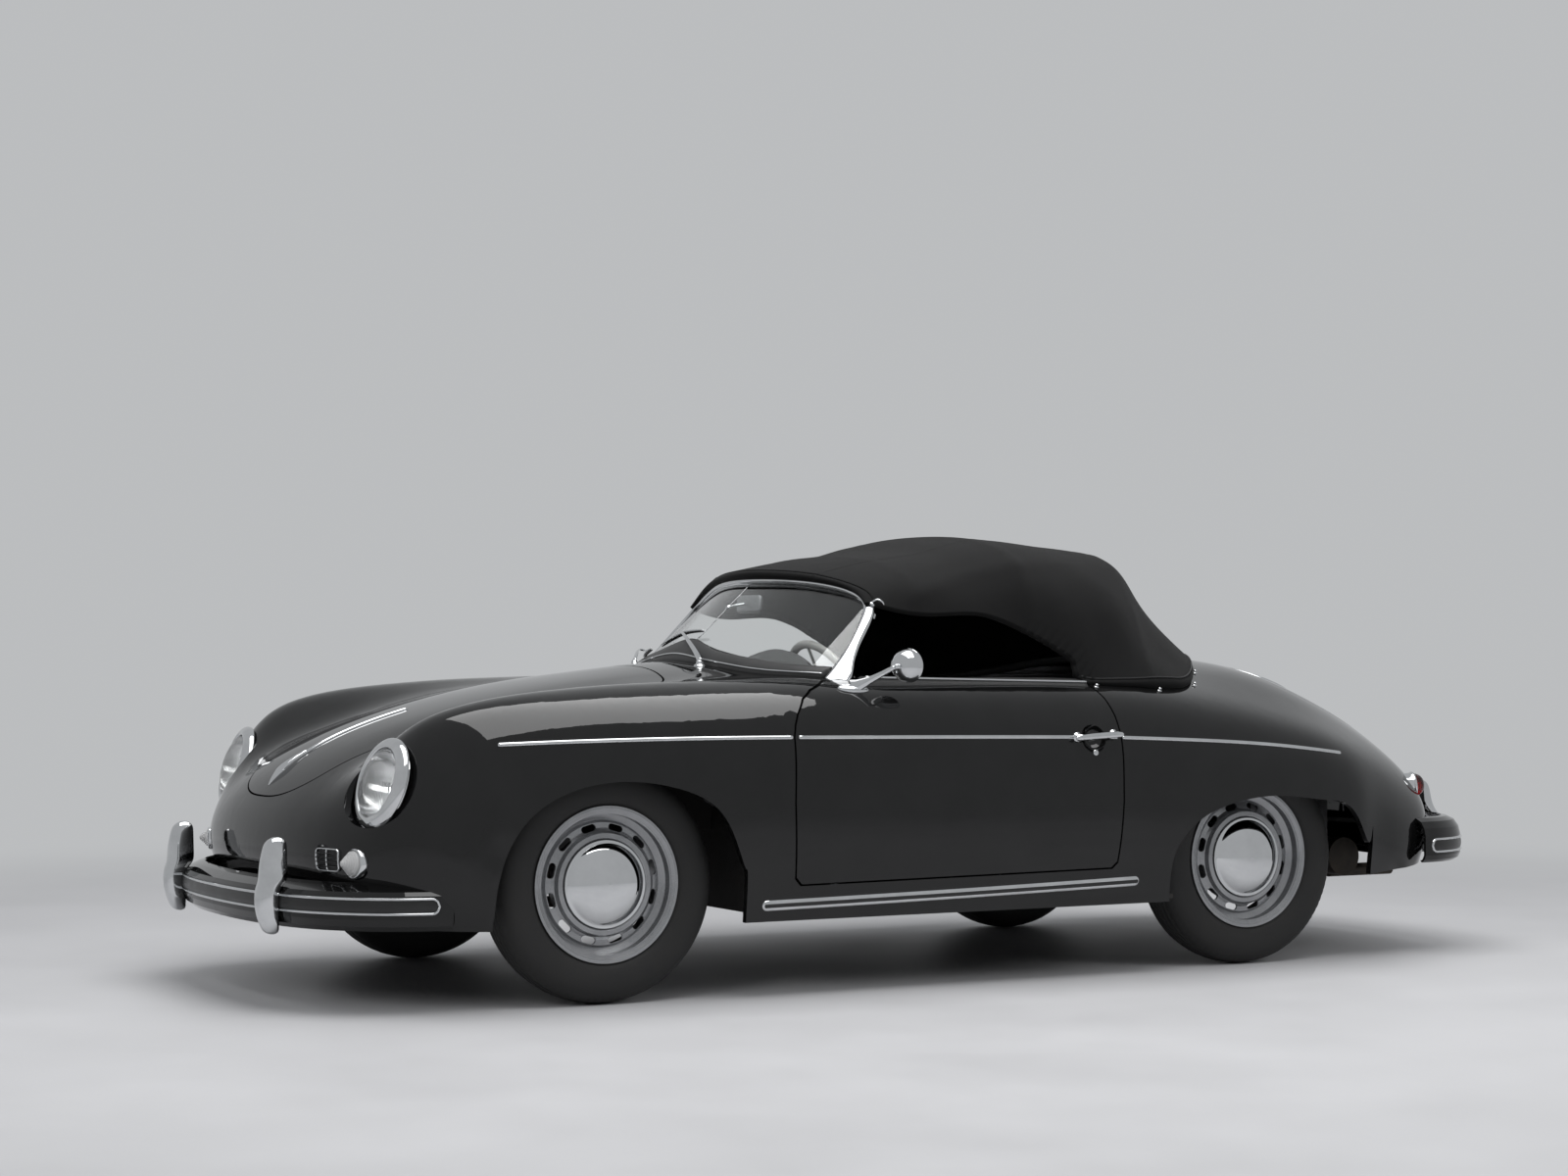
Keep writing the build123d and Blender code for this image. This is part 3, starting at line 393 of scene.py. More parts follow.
def mesh_piece(name, points, faces, material, body="body", uv=None, tidy=True, smooth=True):
    """A piece of the car from points and faces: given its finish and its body."""
    mesh = bpy.data.meshes.new(name)
    mesh.from_pydata(np.asarray(points).tolist(), [], np.asarray(faces).tolist())
    if uv is not None:
        layer = mesh.uv_layers.new(name="UVMap")
        loops = np.empty(len(mesh.loops), int)
        mesh.loops.foreach_get("vertex_index", loops)
        layer.data.foreach_set("uv", uv.reshape(-1, 2)[loops].ravel())
    if tidy:
        bm = bmesh.new()
        bm.from_mesh(mesh)
        bmesh.ops.remove_doubles(bm, verts=bm.verts, dist=2e-6)
        bmesh.ops.recalc_face_normals(bm, faces=bm.faces)
        bm.to_mesh(mesh)
        bm.free()
    mesh.polygons.foreach_set("use_smooth", np.full(len(mesh.polygons), smooth))
    mesh.materials.append(material)
    piece = bpy.data.objects.new(name, mesh)
    bpy.context.scene.collection.objects.link(piece)
    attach(piece, body)
    return piece


def turned(profile, centre, axis, steps):
    """Surface of revolution: each (radius, height) of the profile goes round the axis."""
    profile, w = np.asarray(profile, float), unit(np.asarray(axis, float))
    u = unit(np.cross(w, (0, 0, 1) if abs(w[2]) < 0.9 else (1, 0, 0)))
    v = np.cross(w, u)
    a = np.arange(steps) * 2 * np.pi / steps
    rim = np.cos(a)[None, :, None] * u + np.sin(a)[None, :, None] * v
    return np.asarray(centre, float) + profile[:, None, 1:] * w + profile[:, None, :1] * rim


def lathe(name, profile, centre, axis, steps, material, body="body"):
    """A piece turned about an axis from (radius, height) points in millimetres."""
    points = turned(np.asarray(profile, float) * 0.001, centre, axis, steps)
    return surface(name, points, material, body)


def capped(points):
    """The same grid of rings with each end closed on the middle of its last ring."""
    first, last = (ring.mean(axis=1, keepdims=True).repeat(points.shape[1], 1)
                   for ring in (points[:1], points[-1:]))
    return np.concatenate([first, points, last])


def swept(path, section, up, size=None, caps=True):
    """A section (side, up) carried along a path; 'up' is one direction or one for each point."""
    path, section = np.asarray(path, float), np.asarray(section, float)
    along = unit(np.gradient(path, axis=0))
    up = np.broadcast_to(np.asarray(up, float), path.shape)
    side = unit(np.cross(along, up))
    up = np.cross(side, along)
    size = np.ones(len(path)) if size is None else size
    points = path[:, None] + size[:, None, None] * (section[None, :, :1] * side[:, None]
                                                    + section[None, :, 1:] * up[:, None])
    return capped(points) if caps else points


def circle(r, steps, squash=1.0):
    """A round section, or an oval one that squash makes lower or taller."""
    a = np.arange(steps) * 2 * np.pi / steps
    return np.stack([r * np.cos(a), r * squash * np.sin(a)], axis=1)


def half_round(width, height, steps=9, sink=0.001):
    """A low half-round bead: flat underneath, sunk a little into what carries it."""
    a = np.linspace(0, np.pi, steps)
    top = np.stack([width / 2 * np.cos(a), height * np.sin(a) ** 0.8], axis=1)
    return np.concatenate([top, [[-width / 2, -sink], [width / 2, -sink]]])


def tube(name, points, radius, material, count, steps=14, body="body"):
    """A round bar along a smooth line through the points."""
    path = spline(points, count) if len(points) > 2 else np.linspace(points[0], points[1], count)
    up = (0, 0, 1) if abs(unit(path[-1] - path[0])[2]) < 0.9 else (1, 0, 0)
    return surface(name, swept(path, circle(radius, steps), up), material, body)


def skin(*names):
    """The surface of some CAD nodes, for laying trim on it."""
    verts, faces, start = [], [], 0
    for name in names:
        mesh = nodes[name].data
        verts += [tuple(v.co) for v in mesh.vertices]
        faces += [tuple(i + start for i in p.vertices) for p in mesh.polygons]
        start = len(verts)
    return BVHTree.FromPolygons(verts, faces)


def dropped(tree, starts, direction):
    """Where rays from each start meet the skin, and the skin's outward direction there."""
    hits, ups = [], []
    for s in np.asarray(starts, float):
        place, normal, _, _ = tree.ray_cast(Vector(s), Vector(direction))
        if place is None:
            continue
        if normal.dot(Vector(direction)) > 0:
            normal = -normal
        hits.append(tuple(place))
        ups.append(tuple(normal))
    return np.array(hits), np.array(ups)


def evened(values, times=6):
    """A run of directions with its facet steps smoothed away."""
    for _ in range(times):
        values = np.concatenate([values[:1], (values[:-2] + 2 * values[1:-1] + values[2:]) / 4, values[-1:]])
    return values


def bead(name, tree, starts, direction, section, material, body="body", tips=(1, 1)):
    """A bead of trim laid on the skin along a line of rays, rounded off at its tips."""
    hits, ups = dropped(tree, starts, direction)
    hits, ups = evened(hits), unit(evened(ups, 12))
    s = travelled(hits)
    reach = 0.5 * (section[:, 0].max() - section[:, 0].min())
    size = np.ones(len(s))
    for tip, d in zip(tips, (s, s[-1] - s)):
        if tip:
            x = np.clip(d / (reach * tip), 0, 1)
            size *= np.sqrt(np.clip(1 - (1 - x) ** 2, 0.003, 1))
    return surface(name, swept(hits, section, ups, size), material, body)


def ring_bead(name, line, outward, section, material, body="body"):
    """A bead of trim round a closed line, standing outwards from it."""
    along = unit(np.roll(line, -1, 0) - np.roll(line, 1, 0))
    side = unit(np.cross(along, outward))
    points = line[:, None] + section[None, :, :1] * side[:, None] + section[None, :, 1:] * outward[:, None]
    return surface(name, points, material, body, wrap_u=True)


def oblong(half_x, half_z, r, steps=8):
    """A rounded oblong outline about the origin, counter-clockwise."""
    q = np.linspace(0, np.pi / 2, steps)
    corners = ((1, 1, 0), (-1, 1, np.pi / 2), (-1, -1, np.pi), (1, -1, 1.5 * np.pi))
    return np.concatenate([np.stack([a * (half_x - r) + r * np.cos(q + t),
                                     b * (half_z - r) + r * np.sin(q + t)], 1) for a, b, t in corners])


def closed_run(outline, count):
    """An outline's points spread evenly, with its last point next to its first."""
    return spline(np.concatenate([outline, outline[:1]]), count)[:-1]


def run(points, step=0.012):
    """A dense run of points through a few, about one step apart."""
    p = np.asarray(points, float)
    count = max(int(travelled(p)[-1] / step), 6)
    return spline(p, count) if len(p) > 2 else np.linspace(p[0], p[1], count)


def fine_ends(points, count=7, reach=0.012):
    """The same run with extra points close to both ends, so that rounded tips stay round."""
    p = np.asarray(points, float)
    t = (1 - np.cos(np.linspace(0, np.pi / 2, count))) * reach
    first, last = unit(p[1] - p[0]), unit(p[-2] - p[-1])
    keep = (np.linalg.norm(p - p[0], axis=1) > reach) & (np.linalg.norm(p - p[-1], axis=1) > reach)
    return np.concatenate([p[0] + t[:, None] * first, p[keep], (p[-1] + t[:, None] * last)[::-1]])


# ---- bright trim along the body
body_skin = skin("front_body", "rear_body", "sills", "door_left", "door_right", "bonnet", "engine_lid")
BELT = {"wing": ("body", [(-1.462, 0.689), (-1.30, 0.694), (-0.95, 0.698), (-0.628, 0.697)]),
        "door": ("door", [(-0.612, 0.697), (-0.2, 0.692), (0.2, 0.686), (0.418, 0.682)]),
        "tail": ("body", [(0.433, 0.681), (0.8, 0.664), (1.05, 0.645), (1.268, 0.621)])}
for side, s in SIDES:
    for part, (body, line) in BELT.items():
        starts = [(s * 1.2, y, z) for y, z in fine_ends(run(line))]
        name = f"door_{side}" if body == "door" else "body"
        bead(f"belt_strip_{part}_{side}", body_skin, starts, (-s, 0, 0), half_round(0.011, 0.0045), CHROME,
             name)

# ridge strip and handle on the bonnet
ridge = [(0, y, 1.6) for y in np.linspace(-1.765, -1.407, 40)]
bead("bonnet_strip", body_skin, ridge, (0, 0, -1), half_round(0.013, 0.007), CHROME, "bonnet", tips=(0, 2.5))
# the handle: a pointed nose that swells and then narrows into the strip
nose_line = [(0, y, 1.6) for y in np.linspace(-1.812, -1.700, 60)]
foot, up = dropped(body_skin, nose_line, (0, 0, -1))
foot, up = evened(foot), unit(evened(up, 16))
swell = np.interp(np.linspace(0, 1, len(foot)), [0, 0.08, 0.30, 0.40, 0.55, 0.8, 0.97, 1],
                  [0.12, 0.45, 0.98, 1.0, 0.88, 0.66, 0.55, 0.3])
handle = surface("bonnet_pull", swept(foot, half_round(0.021, 0.0165, 13), up, evened(swell)), POLISHED,
                 "bonnet")
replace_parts(handle, "bonnet_handle")


# ---- lamps
def aimed(place, aim, s):
    """A lamp's centre and its outward direction on side s."""
    return np.array((s * place[0], place[1], place[2])), unit(np.array((s * aim[0], aim[1], aim[2])))


HEAD_AT, HEAD_AIM = (0.589, FRONT_AXLE - 0.572, 0.586), (0.10, -0.95, 0.29)
RIM_PROFILE = [(104, -12), (104, 2), (121, 0), (122.5, 4), (122, 10), (118, 17), (110, 23), (102, 26),
               (97, 26.5), (94, 25), (92, 21), (91.5, 14)]
LENS_PROFILE = [(93, 16), (91, 21), (86, 27), (74, 34), (58, 39), (40, 42.5), (20, 44), (0, 44.5), (0, 42),
                (20, 41.5), (40, 40), (57, 36.5), (72, 31.5), (83, 25), (88, 19), (90, 14), (93, 16)]
BOWL_PROFILE = [(92, 18), (84, -4), (66, -30), (42, -50), (22, -58), (0, -60)]
for side, s in SIDES:
    at, aim = aimed(HEAD_AT, HEAD_AIM, s)
    rim = lathe(f"headlamp_rim_{side}", spline(RIM_PROFILE, 40), at, aim, 96, CHROME)
    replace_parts(rim, "headlamps")
    lathe(f"headlamp_lens_{side}", LENS_PROFILE, at, aim, 96, FLUTED)
    lathe(f"headlamp_bowl_{side}", spline(BOWL_PROFILE, 24), at, aim, 72, REFLECTOR)
    bulb = [(0, -58), (9, -54), (9, -36), (7, -30), (9, -22), (8, -14), (0, -9)]
    lathe(f"headlamp_bulb_{side}", spline(bulb, 20), at, aim, 24, SATIN, "body")

TURN_AT, TURN_AIM = (0.580, FRONT_AXLE - 0.640, 0.384), (0.2, -0.975, 0.06)
LENS_STEPS = [(0, 52)]
for k in range(7):
    r, h = 6 + 4.1 * k, 50 - 4.6 * k
    LENS_STEPS += [(r, h), (r + 1.2, h - 0.8), (r + 1.4, h - 4.0)]
LENS_STEPS += [(33, 16), (33, 10)]
for side, s in SIDES:
    at, aim = aimed(TURN_AT, TURN_AIM, s)
    lens = lathe(f"turn_lens_{side}", LENS_STEPS, at, aim, 48, STEPPED)
    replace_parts(lens, "turn_lamps")
    base = [(33, 6), (34, 14), (36, 16), (39, 13), (41, 4), (41, -16), (33, -16)]
    lathe(f"turn_base_{side}", base, at, aim, 48, CHROME)
    lathe(f"turn_bowl_{side}", [(33, 13), (26, 2), (12, -4), (0, -5)], at, aim, 32, REFLECTOR)

# ---- tyres
def tyre(name, centre, s, node):
    """Rounded casing turned about the axle; zigzag grooves run round the tread and notches mark its edges."""
    turns = 420
    edge_x, groove_half, groove_depth, notch_depth = 0.050, 0.0022, 0.006, 0.0018
    wall = [(57.5, 192), (58.5, 206), (62, 211), (68, 217), (74.5, 232), (77.5, 250), (77, 268), (73.5, 283),
            (67, 295), (60, 302.5), (55, 306.5), (50, 309)]
    half = spline(wall, 34) * 0.001
    across = np.linspace(edge_x, -edge_x, 61)[1:-1]
    crown = np.stack([across, TYRE_R - 0.007 * (across / edge_x) ** 2], axis=1)
    outer = np.concatenate([half, crown, half[::-1] * (-1, 1)])
    inner = [(-50, 200), (-60, 225), (-68, 255), (-56, 290), (0, 302), (56, 290), (68, 255), (60, 225),
             (50, 200)]
    profile = np.concatenate([outer, spline(inner, 24) * 0.001])
    a = (np.arange(turns) * 2 * np.pi / turns)[:, None]
    off, r = np.broadcast_to(profile[:, 0], (turns, len(profile))), profile[:, 1]
    zigzag = 0.0016 * (2 * np.abs((a * 60 / (2 * np.pi)) % 1 - 0.5) * 2 - 1)
    depth = np.zeros(off.shape)
    for c in (-0.036, -0.018, 0.0, 0.018, 0.036):
        depth = np.maximum(depth, groove_depth * np.clip(1.6 - np.abs(off - c - zigzag) / groove_half, 0, 1))
    place = np.arange(len(profile))
    on_tread = (place >= len(half)) & (place < len(half) + len(crown))
    on_edge = (np.abs(profile[:, 0]) > edge_x) & (place < len(outer)) & (profile[:, 1] > 0.300)
    r = r - depth * on_tread - on_edge * notch_depth * ((a * 90 / (2 * np.pi)) % 1 > 0.72)
    points = np.array(centre) + np.stack([s * off, r * np.cos(a), r * np.sin(a)], axis=-1)
    piece = surface(name, points, TYRE, node.replace("tyre", "wheel"), wrap_u=True)
    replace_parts(piece, node)


for corner, centre, s in WHEELS:
    tyre(f"tyre_casing_{corner}", centre, s, f"tyre_{corner}")

# hub caps: a plain polished dome with a flat lip, turned about the axle
DOME = [(0, 84.5), (22, 84.0), (42, 82.4), (60, 79.6), (76, 75.2), (89, 69.6), (99, 63.2), (106, 57.4)]
LIP = [(108.5, 55.6), (111, 55.0), (114.5, 55.0), (116.4, 54.4), (117, 53.2), (116.4, 52.0), (113, 51.6),
       (104, 54.0)]
CAP = np.concatenate([spline(DOME, 60), spline(LIP, 24)])
for corner, centre, s in WHEELS:
    cap = lathe(f"hub_cap_{corner}", CAP, centre, (s, 0, 0), 160, POLISHED, f"wheel_{corner}")
    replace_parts(cap, f"hubcap_{corner}")


# ---- folding hood
HOOD_NET = np.array([
    [(0, 795, 1162), (270, 838, 1150), (440, 880, 1120), (528, 901, 1089), (563, 900, 1060)],
    [(0, 1020, 1200), (285, 1025, 1188), (470, 1030, 1152), (575, 1035, 1097), (612, 1040, 1032)],
    [(0, 1200, 1227), (292, 1198, 1214), (486, 1195, 1175), (597, 1190, 1100), (634, 1200, 1034)],
    [(0, 1370, 1264), (300, 1365, 1250), (500, 1355, 1205), (615, 1345, 1110), (650, 1337, 989)],
    [(0, 1640, 1248), (305, 1620, 1232), (515, 1580, 1178), (640, 1520, 1060), (676, 1475, 915)],
    [(0, 1895, 1210), (305, 1858, 1193), (500, 1765, 1135), (640, 1680, 1000), (688, 1610, 846)],
    [(0, 2000, 1125), (295, 1945, 1105), (480, 1850, 1062), (622, 1765, 950), (688, 1720, 842)],
    [(0, 2085, 1025), (285, 2035, 1010), (460, 1935, 985), (600, 1850, 900), (668, 1820, 842)],
    [(0, 2215, 920), (275, 2168, 910), (450, 2072, 890), (590, 1965, 854), (645, 1890, 842)]]) * 0.001
HOOD_NET[..., 1] += FRONT_AXLE


def net_grid(half, rows, cols):
    """A smooth grid through a half net mirrored about the centre: cubic curves one way, then the other."""
    net = np.concatenate([half[:, :0:-1] * (-1, 1, 1), half], axis=1)
    for axis, count in ((0, rows), (1, cols)):
        net = np.swapaxes(net, 0, axis)
        gaps = np.sqrt(np.linalg.norm(np.diff(net, axis=0), axis=-1)).mean(axis=1)
        net = natural(np.concatenate([[0], np.cumsum(gaps)]), net, count)
        net = np.swapaxes(net, 0, axis)
    return net


def lengths(p, axis):
    """Running length along one way of a grid, measured from its middle."""
    d = np.linalg.norm(np.diff(p, axis=axis), axis=-1)
    pad = [(0, 0), (0, 0)]
    pad[axis] = (1, 0)
    s = np.cumsum(np.pad(d, pad), axis=axis)
    middle = s.take([s.shape[axis] // 2], axis=axis)
    return s - middle


hood_rows, hood_cols = 181, 221
from_middle = np.abs(np.linspace(-1, 1, hood_cols))[None]
hood_grid = net_grid(HOOD_NET, hood_rows, hood_cols)
hem_row = int(np.argmax(hood_grid[:, -1, 1] > 0.475))


def eased(x):
    """0 below 0, 1 above 1, and a smooth step between."""
    x = np.clip(x, 0, 1)
    return x * x * (3 - 2 * x)


# the lower corner of each side is drawn forward along the body, less and less up the cloth
side_y = hood_grid[:, -1, 1][:, None]
drawn = 0.088 * eased((side_y - 0.345) / 0.135) * eased((0.760 - side_y) / 0.280)
drawn = drawn * eased((from_middle - 0.66) / 0.34)
hood_grid[..., 1] -= drawn
du, dv = np.gradient(hood_grid, axis=0), np.gradient(hood_grid, axis=1)
hood_out = unit(np.cross(dv, du))
hood_out *= np.sign(hood_out[hood_rows // 2, hood_cols // 2, 2])
along, across = lengths(hood_grid, 0), lengths(hood_grid, 1)


def ridge_at(value, centre, width, height):
    """A rounded ridge over a centre line: the bell curve exp(-x^2)."""
    return height * np.exp(-((value - centre) / width) ** 2)


y_here, x_here = hood_grid[..., 1], hood_grid[..., 0]
fold = (ridge_at(y_here, 0.240, 0.030, 0.004) + ridge_at(y_here, -0.105, 0.022, 0.0015)
        + ridge_at(y_here + 0.10 * x_here ** 2, 0.690, 0.025, 0.002))
for c in (-0.315, 0.315):
    fold += ridge_at(x_here, c, 0.006, 0.0016)
hang = np.clip((np.abs(x_here) - 0.36) / 0.2, 0, 1)
pull = np.sin(26 * (y_here + 0.7 * hood_grid[..., 2])) * np.clip((y_here - 0.1) / 0.5, 0, 1)
fold += 0.0022 * hang * pull
tail = np.clip((y_here - 0.75) / 0.3, 0, 1)
fold += 0.0018 * tail * np.sin(22 * x_here + 3 * np.sin(9 * hood_grid[..., 2]))
# small puckers along the side openings' lower edge, where the cloth is pulled down to the body
edge_on = np.clip((from_middle - 0.93) / 0.07, 0, 1)
pucker = eased((y_here - 0.16) / 0.10) * eased((0.47 - y_here) / 0.08)
fold += 0.0030 * edge_on * pucker * np.sin(180 * (y_here - 0.9 * hood_grid[..., 2]))
# one long slack crease from each front corner back along the side
crease_z = 1.118 + 0.30 * y_here - 0.35 * y_here ** 2
slack = eased((y_here + 0.18) / 0.12) * eased((0.62 - y_here) / 0.45) * (hang > 0)
fold += ridge_at(hood_grid[..., 2], crease_z, 0.022, 0.0045) * slack
outer_hood = hood_grid + hood_out * fold[..., None]
WINDOW_AT, WINDOW_HALF, WINDOW_ROUND = np.array((0, 0.94, 1.08)), (0.28, 0.075), 0.06
WINDOW_OUT = unit(np.array((0, 0.72, 0.69)))
CLOTH_THICK = 0.004
WINDOW_UP = np.cross(WINDOW_OUT, (1, 0, 0))


def window_depth(points):
    """How far a point lies inside the rounded oblong of the rear window, seen square to it."""
    rel = points - WINDOW_AT
    du = np.abs(rel[..., 0]) - (WINDOW_HALF[0] - WINDOW_ROUND)
    dv = np.abs(rel @ WINDOW_UP) - (WINDOW_HALF[1] - WINDOW_ROUND)
    out = np.hypot(np.maximum(du, 0), np.maximum(dv, 0)) + np.minimum(np.maximum(du, dv), 0)
    return WINDOW_ROUND - out


def hood_shell():
    """The cloth: a smooth grid with folds, open at the rear window, given a thickness inwards."""
    faces = quads(hood_rows, hood_cols)
    centres = outer_hood.reshape(-1, 3)[faces].mean(axis=1)
    keep = (window_depth(centres) < 0) | (centres[:, 1] < 0.6)
    piece = mesh_piece("hood_cloth", outer_hood.reshape(-1, 3), faces[keep], CLOTH,
                       uv=np.stack([across, along], axis=-1), tidy=False)
    wall = piece.modifiers.new("thickness", "SOLIDIFY")
    wall.thickness, wall.offset = CLOTH_THICK, -1
    return piece


hood_piece = hood_shell()
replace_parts(hood_piece, "hood")

# ---- bumpers and overriders
BUMPER_F = [(0, -1.968), (0.220, -1.958), (0.400, -1.926), (0.540, -1.872), (0.640, -1.792), (0.700, -1.706),
            (0.732, -1.610), (0.738, -1.570)]
BUMPER_R = [(0, 1.979), (0.220, 1.970), (0.400, 1.944), (0.540, 1.900), (0.640, 1.834), (0.704, 1.750),
            (0.730, 1.670), (0.734, 1.616)]


def bumper_line(half, lift, end):
    """The whole plan curve of a bumper from one end to the other, a little short of its tips."""
    ring = [(-x, y) for x, y in reversed(half[1:])] + list(half)
    line = spline([(x, y, lift) for x, y in ring], 400)
    return line[np.abs(line[:, 0]) < end]


BLADE_HALF = 0.019
for name, half, lift, end, outward, shift in (("front", BUMPER_F, 0.280, 0.7335, -1, 0.0005),
                                              ("rear", BUMPER_R, 0.330, 0.7330, 1, -0.0024)):
    line = bumper_line(half, lift, end)
    tangent = unit(np.gradient(line, axis=0))
    square = outward * np.stack([-tangent[:, 1], tangent[:, 0], 0 * tangent[:, 0]], axis=1)
    square *= np.sign(outward * square[len(square) // 2, 1])
    path = line + shift * square
    s = travelled(path)
    from_tip = np.clip(np.minimum(s, s[-1] - s) / BLADE_HALF, 0, 1)
    rise = BLADE_HALF * np.sqrt(np.clip(1 - (1 - from_tip) ** 2, 0.001, 1))[:, None] * (0, 0, 1)
    ring = np.concatenate([path + rise, (path - rise)[::-1]])
    around = np.concatenate([square, square[::-1]])
    keep = np.concatenate([[True], np.linalg.norm(np.diff(ring, axis=0), axis=1) > 1e-4])
    ring_bead(f"{name}_bumper_edging", ring[keep], around[keep], half_round(0.0085, 0.007, 9, 0.002), CHROME)
    # the rubber strip's face swells between its edges, and its flat back is sunk into the blade
    v = np.linspace(-1, 1, 15)[:, None]
    swell = np.concatenate([0.004 * (1 - np.abs(v) ** 2.5) + 0.0006, np.full(v.shape, -0.001)])
    v = np.concatenate([v, v[::-1]])
    surface(f"{name}_bumper_strip", path[:, None] + 0.95 * v * rise[:, None] + swell * square[:, None],
            RIBBED)


def squared(wave, power):
    """A sine or cosine pushed towards its peaks by a power below 1, which squares off a round section."""
    return np.sign(wave) * np.abs(wave) ** power


def overrider(name, x, y, z, back, rows):
    """A horn lofted through rounded sections, each (height, depth centre, half width, half depth)."""
    height, depth, half_x, half_y = spline(rows, 70).T[..., None]
    a = np.arange(40) * 2 * np.pi / 40
    points = [x + half_x * squared(np.cos(a), 0.62), y + back * (depth + half_y * squared(np.sin(a), 0.72)),
              z + height + 0 * a]
    return surface(name, capped(np.stack(points, axis=-1)), CHROME)


FRONT_HORN = [(-0.083, 0.012, 0.010, 0.006), (-0.077, 0.014, 0.018, 0.017), (-0.055, 0.020, 0.025, 0.024),
              (-0.020, 0.025, 0.0265, 0.029), (0.010, 0.0265, 0.027, 0.030), (0.035, 0.022, 0.0265, 0.032),
              (0.055, 0.012, 0.026, 0.036), (0.090, 0.009, 0.0245, 0.036), (0.130, 0.006, 0.022, 0.032),
              (0.152, 0.003, 0.0185, 0.027), (0.162, 0.001, 0.013, 0.018), (0.167, 0.000, 0.006, 0.008)]
REAR_HORN = [(-0.063, 0.006, 0.010, 0.006), (-0.056, 0.010, 0.017, 0.014), (-0.035, 0.014, 0.022, 0.019),
             (0.000, 0.0165, 0.024, 0.0195), (0.030, 0.011, 0.0235, 0.0195), (0.052, -0.002, 0.023, 0.020),
             (0.074, -0.022, 0.0225, 0.020), (0.100, -0.042, 0.0215, 0.0205), (0.130, -0.049, 0.019, 0.0175),
             (0.160, -0.0525, 0.016, 0.0145), (0.174, -0.0545, 0.011, 0.009), (0.180, -0.0555, 0.005, 0.004)]
for side, s in SIDES:
    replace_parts(overrider(f"front_horn_{side}", s * 0.400, -1.926, 0.280, -1, FRONT_HORN), "front_overriders")
    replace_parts(overrider(f"rear_horn_{side}", s * 0.400, 1.944, 0.330, 1, REAR_HORN), "rear_overriders")

# ---- sill strips
for side, s in SIDES:
    line = run([(-0.716, 0.249), (-0.1, 0.258), (0.503, 0.271)], 0.01)
    starts = [(s * 1.2, y, z) for y, z in fine_ends(line)]
    bead(f"sill_strip_{side}", body_skin, starts, (-s, 0, 0), half_round(0.030, 0.006), CHROME)
    bead(f"sill_strip_rubber_{side}", body_skin, starts[3:-3], (-s, 0, 0), half_round(0.014, 0.0085), RIBBED)

# ---- windscreen: frame, seal, wipers, mirror
def whole(half):
    """Both halves of a line given from the centre outwards, in metres."""
    p = np.array(half, float) * 0.001
    flip = np.ones(p.shape[1])
    flip[0] = -1
    return np.concatenate([p[:0:-1] * flip, p])


BOW = spline(whole([(0, 0), (265, 33), (419, 76), (545, 120), (625, 160), (690, 200)]), 240)
RAKE, SCREEN_OUT = np.array((0, 0.733, 0.680)), np.array((0, -0.680, 0.733))


def screen(x, z, outward=0.0):
    """A point of the bowed, raked windscreen that seen from straight ahead is at x and z, moved outwards."""
    x, z = np.asarray(x, float), np.asarray(z, float)
    bow = np.interp(x, BOW[:, 0], BOW[:, 1])
    rise = (z - 0.955 + 0.733 * bow) / 0.680
    flat = np.stack([x, -0.524 + 0 * x, 0.955 + 0 * x], -1)
    return flat - SCREEN_OUT * (bow - outward)[..., None] + RAKE * rise[..., None]


def ribbon(name, top, bottom, out, bulge, back, material, steps=9):
    """A band between two lines of points: the face swells outwards, the back lies flat behind it."""
    down = np.linspace(0, 1, steps)[:, None]
    face = bulge * np.sin(np.pi * down) ** 0.6
    down = np.concatenate([down, down[::-1]])
    lift = np.concatenate([face, np.full(face.shape, -back)])
    out = np.broadcast_to(out, top.shape)[:, None]
    return surface(name, capped(top[:, None] + down * (bottom - top)[:, None] + lift * out), material)


FRAME_OUT = [(0, 1143), (266, 1134), (404, 1116), (474, 1098), (526, 1079), (560, 1054), (583, 1018),
             (606, 960), (632, 905), (654, 868), (664, 842)]
FRAME_IN = [(0, 1131), (264, 1122), (400, 1104), (468, 1087), (514, 1068), (541, 1045), (562, 1010),
            (588, 950), (600, 900), (604, 868), (604, 842)]
outer_ring, inner_ring = spline(whole(FRAME_OUT), 300), spline(whole(FRAME_IN), 300)
screen_frame = ribbon("screen_frame", screen(*outer_ring.T, 0.001), screen(*inner_ring.T, 0.001), SCREEN_OUT,
                      0.005, 0.015, CHROME)
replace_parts(screen_frame, "windscreen_frame")
cowl = skin("front_body", "bonnet", "door_left", "door_right")
glass_low = spline(whole([(0, 960), (154, 931), (265, 914), (419, 895), (543, 885), (602, 881)]), 200)
seal_top = screen(*glass_low.T, 0.004)
seal_low = dropped(cowl, seal_top, tuple(-RAKE))[0] - 0.003 * RAKE
ribbon("screen_seal", seal_top, seal_low, SCREEN_OUT, 0.007, 0.014, SEAL)
bright = seal_top + 0.74 * (seal_low - seal_top) + 0.0068 * SCREEN_OUT
surface("screen_seal_trim", swept(bright, circle(0.0026, 12), SCREEN_OUT), CHROME)

# inside mirror on its centre rod
rod_line = screen(np.zeros(24), np.linspace(0.962, 1.128, 24), -0.012)
rod_piece = surface("mirror_rod", swept(rod_line, circle(0.0035, 12), (1, 0, 0)), CHROME)
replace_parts(rod_piece, "inside_mirror")
glass_at = np.array((0.040, -0.350, 1.062))


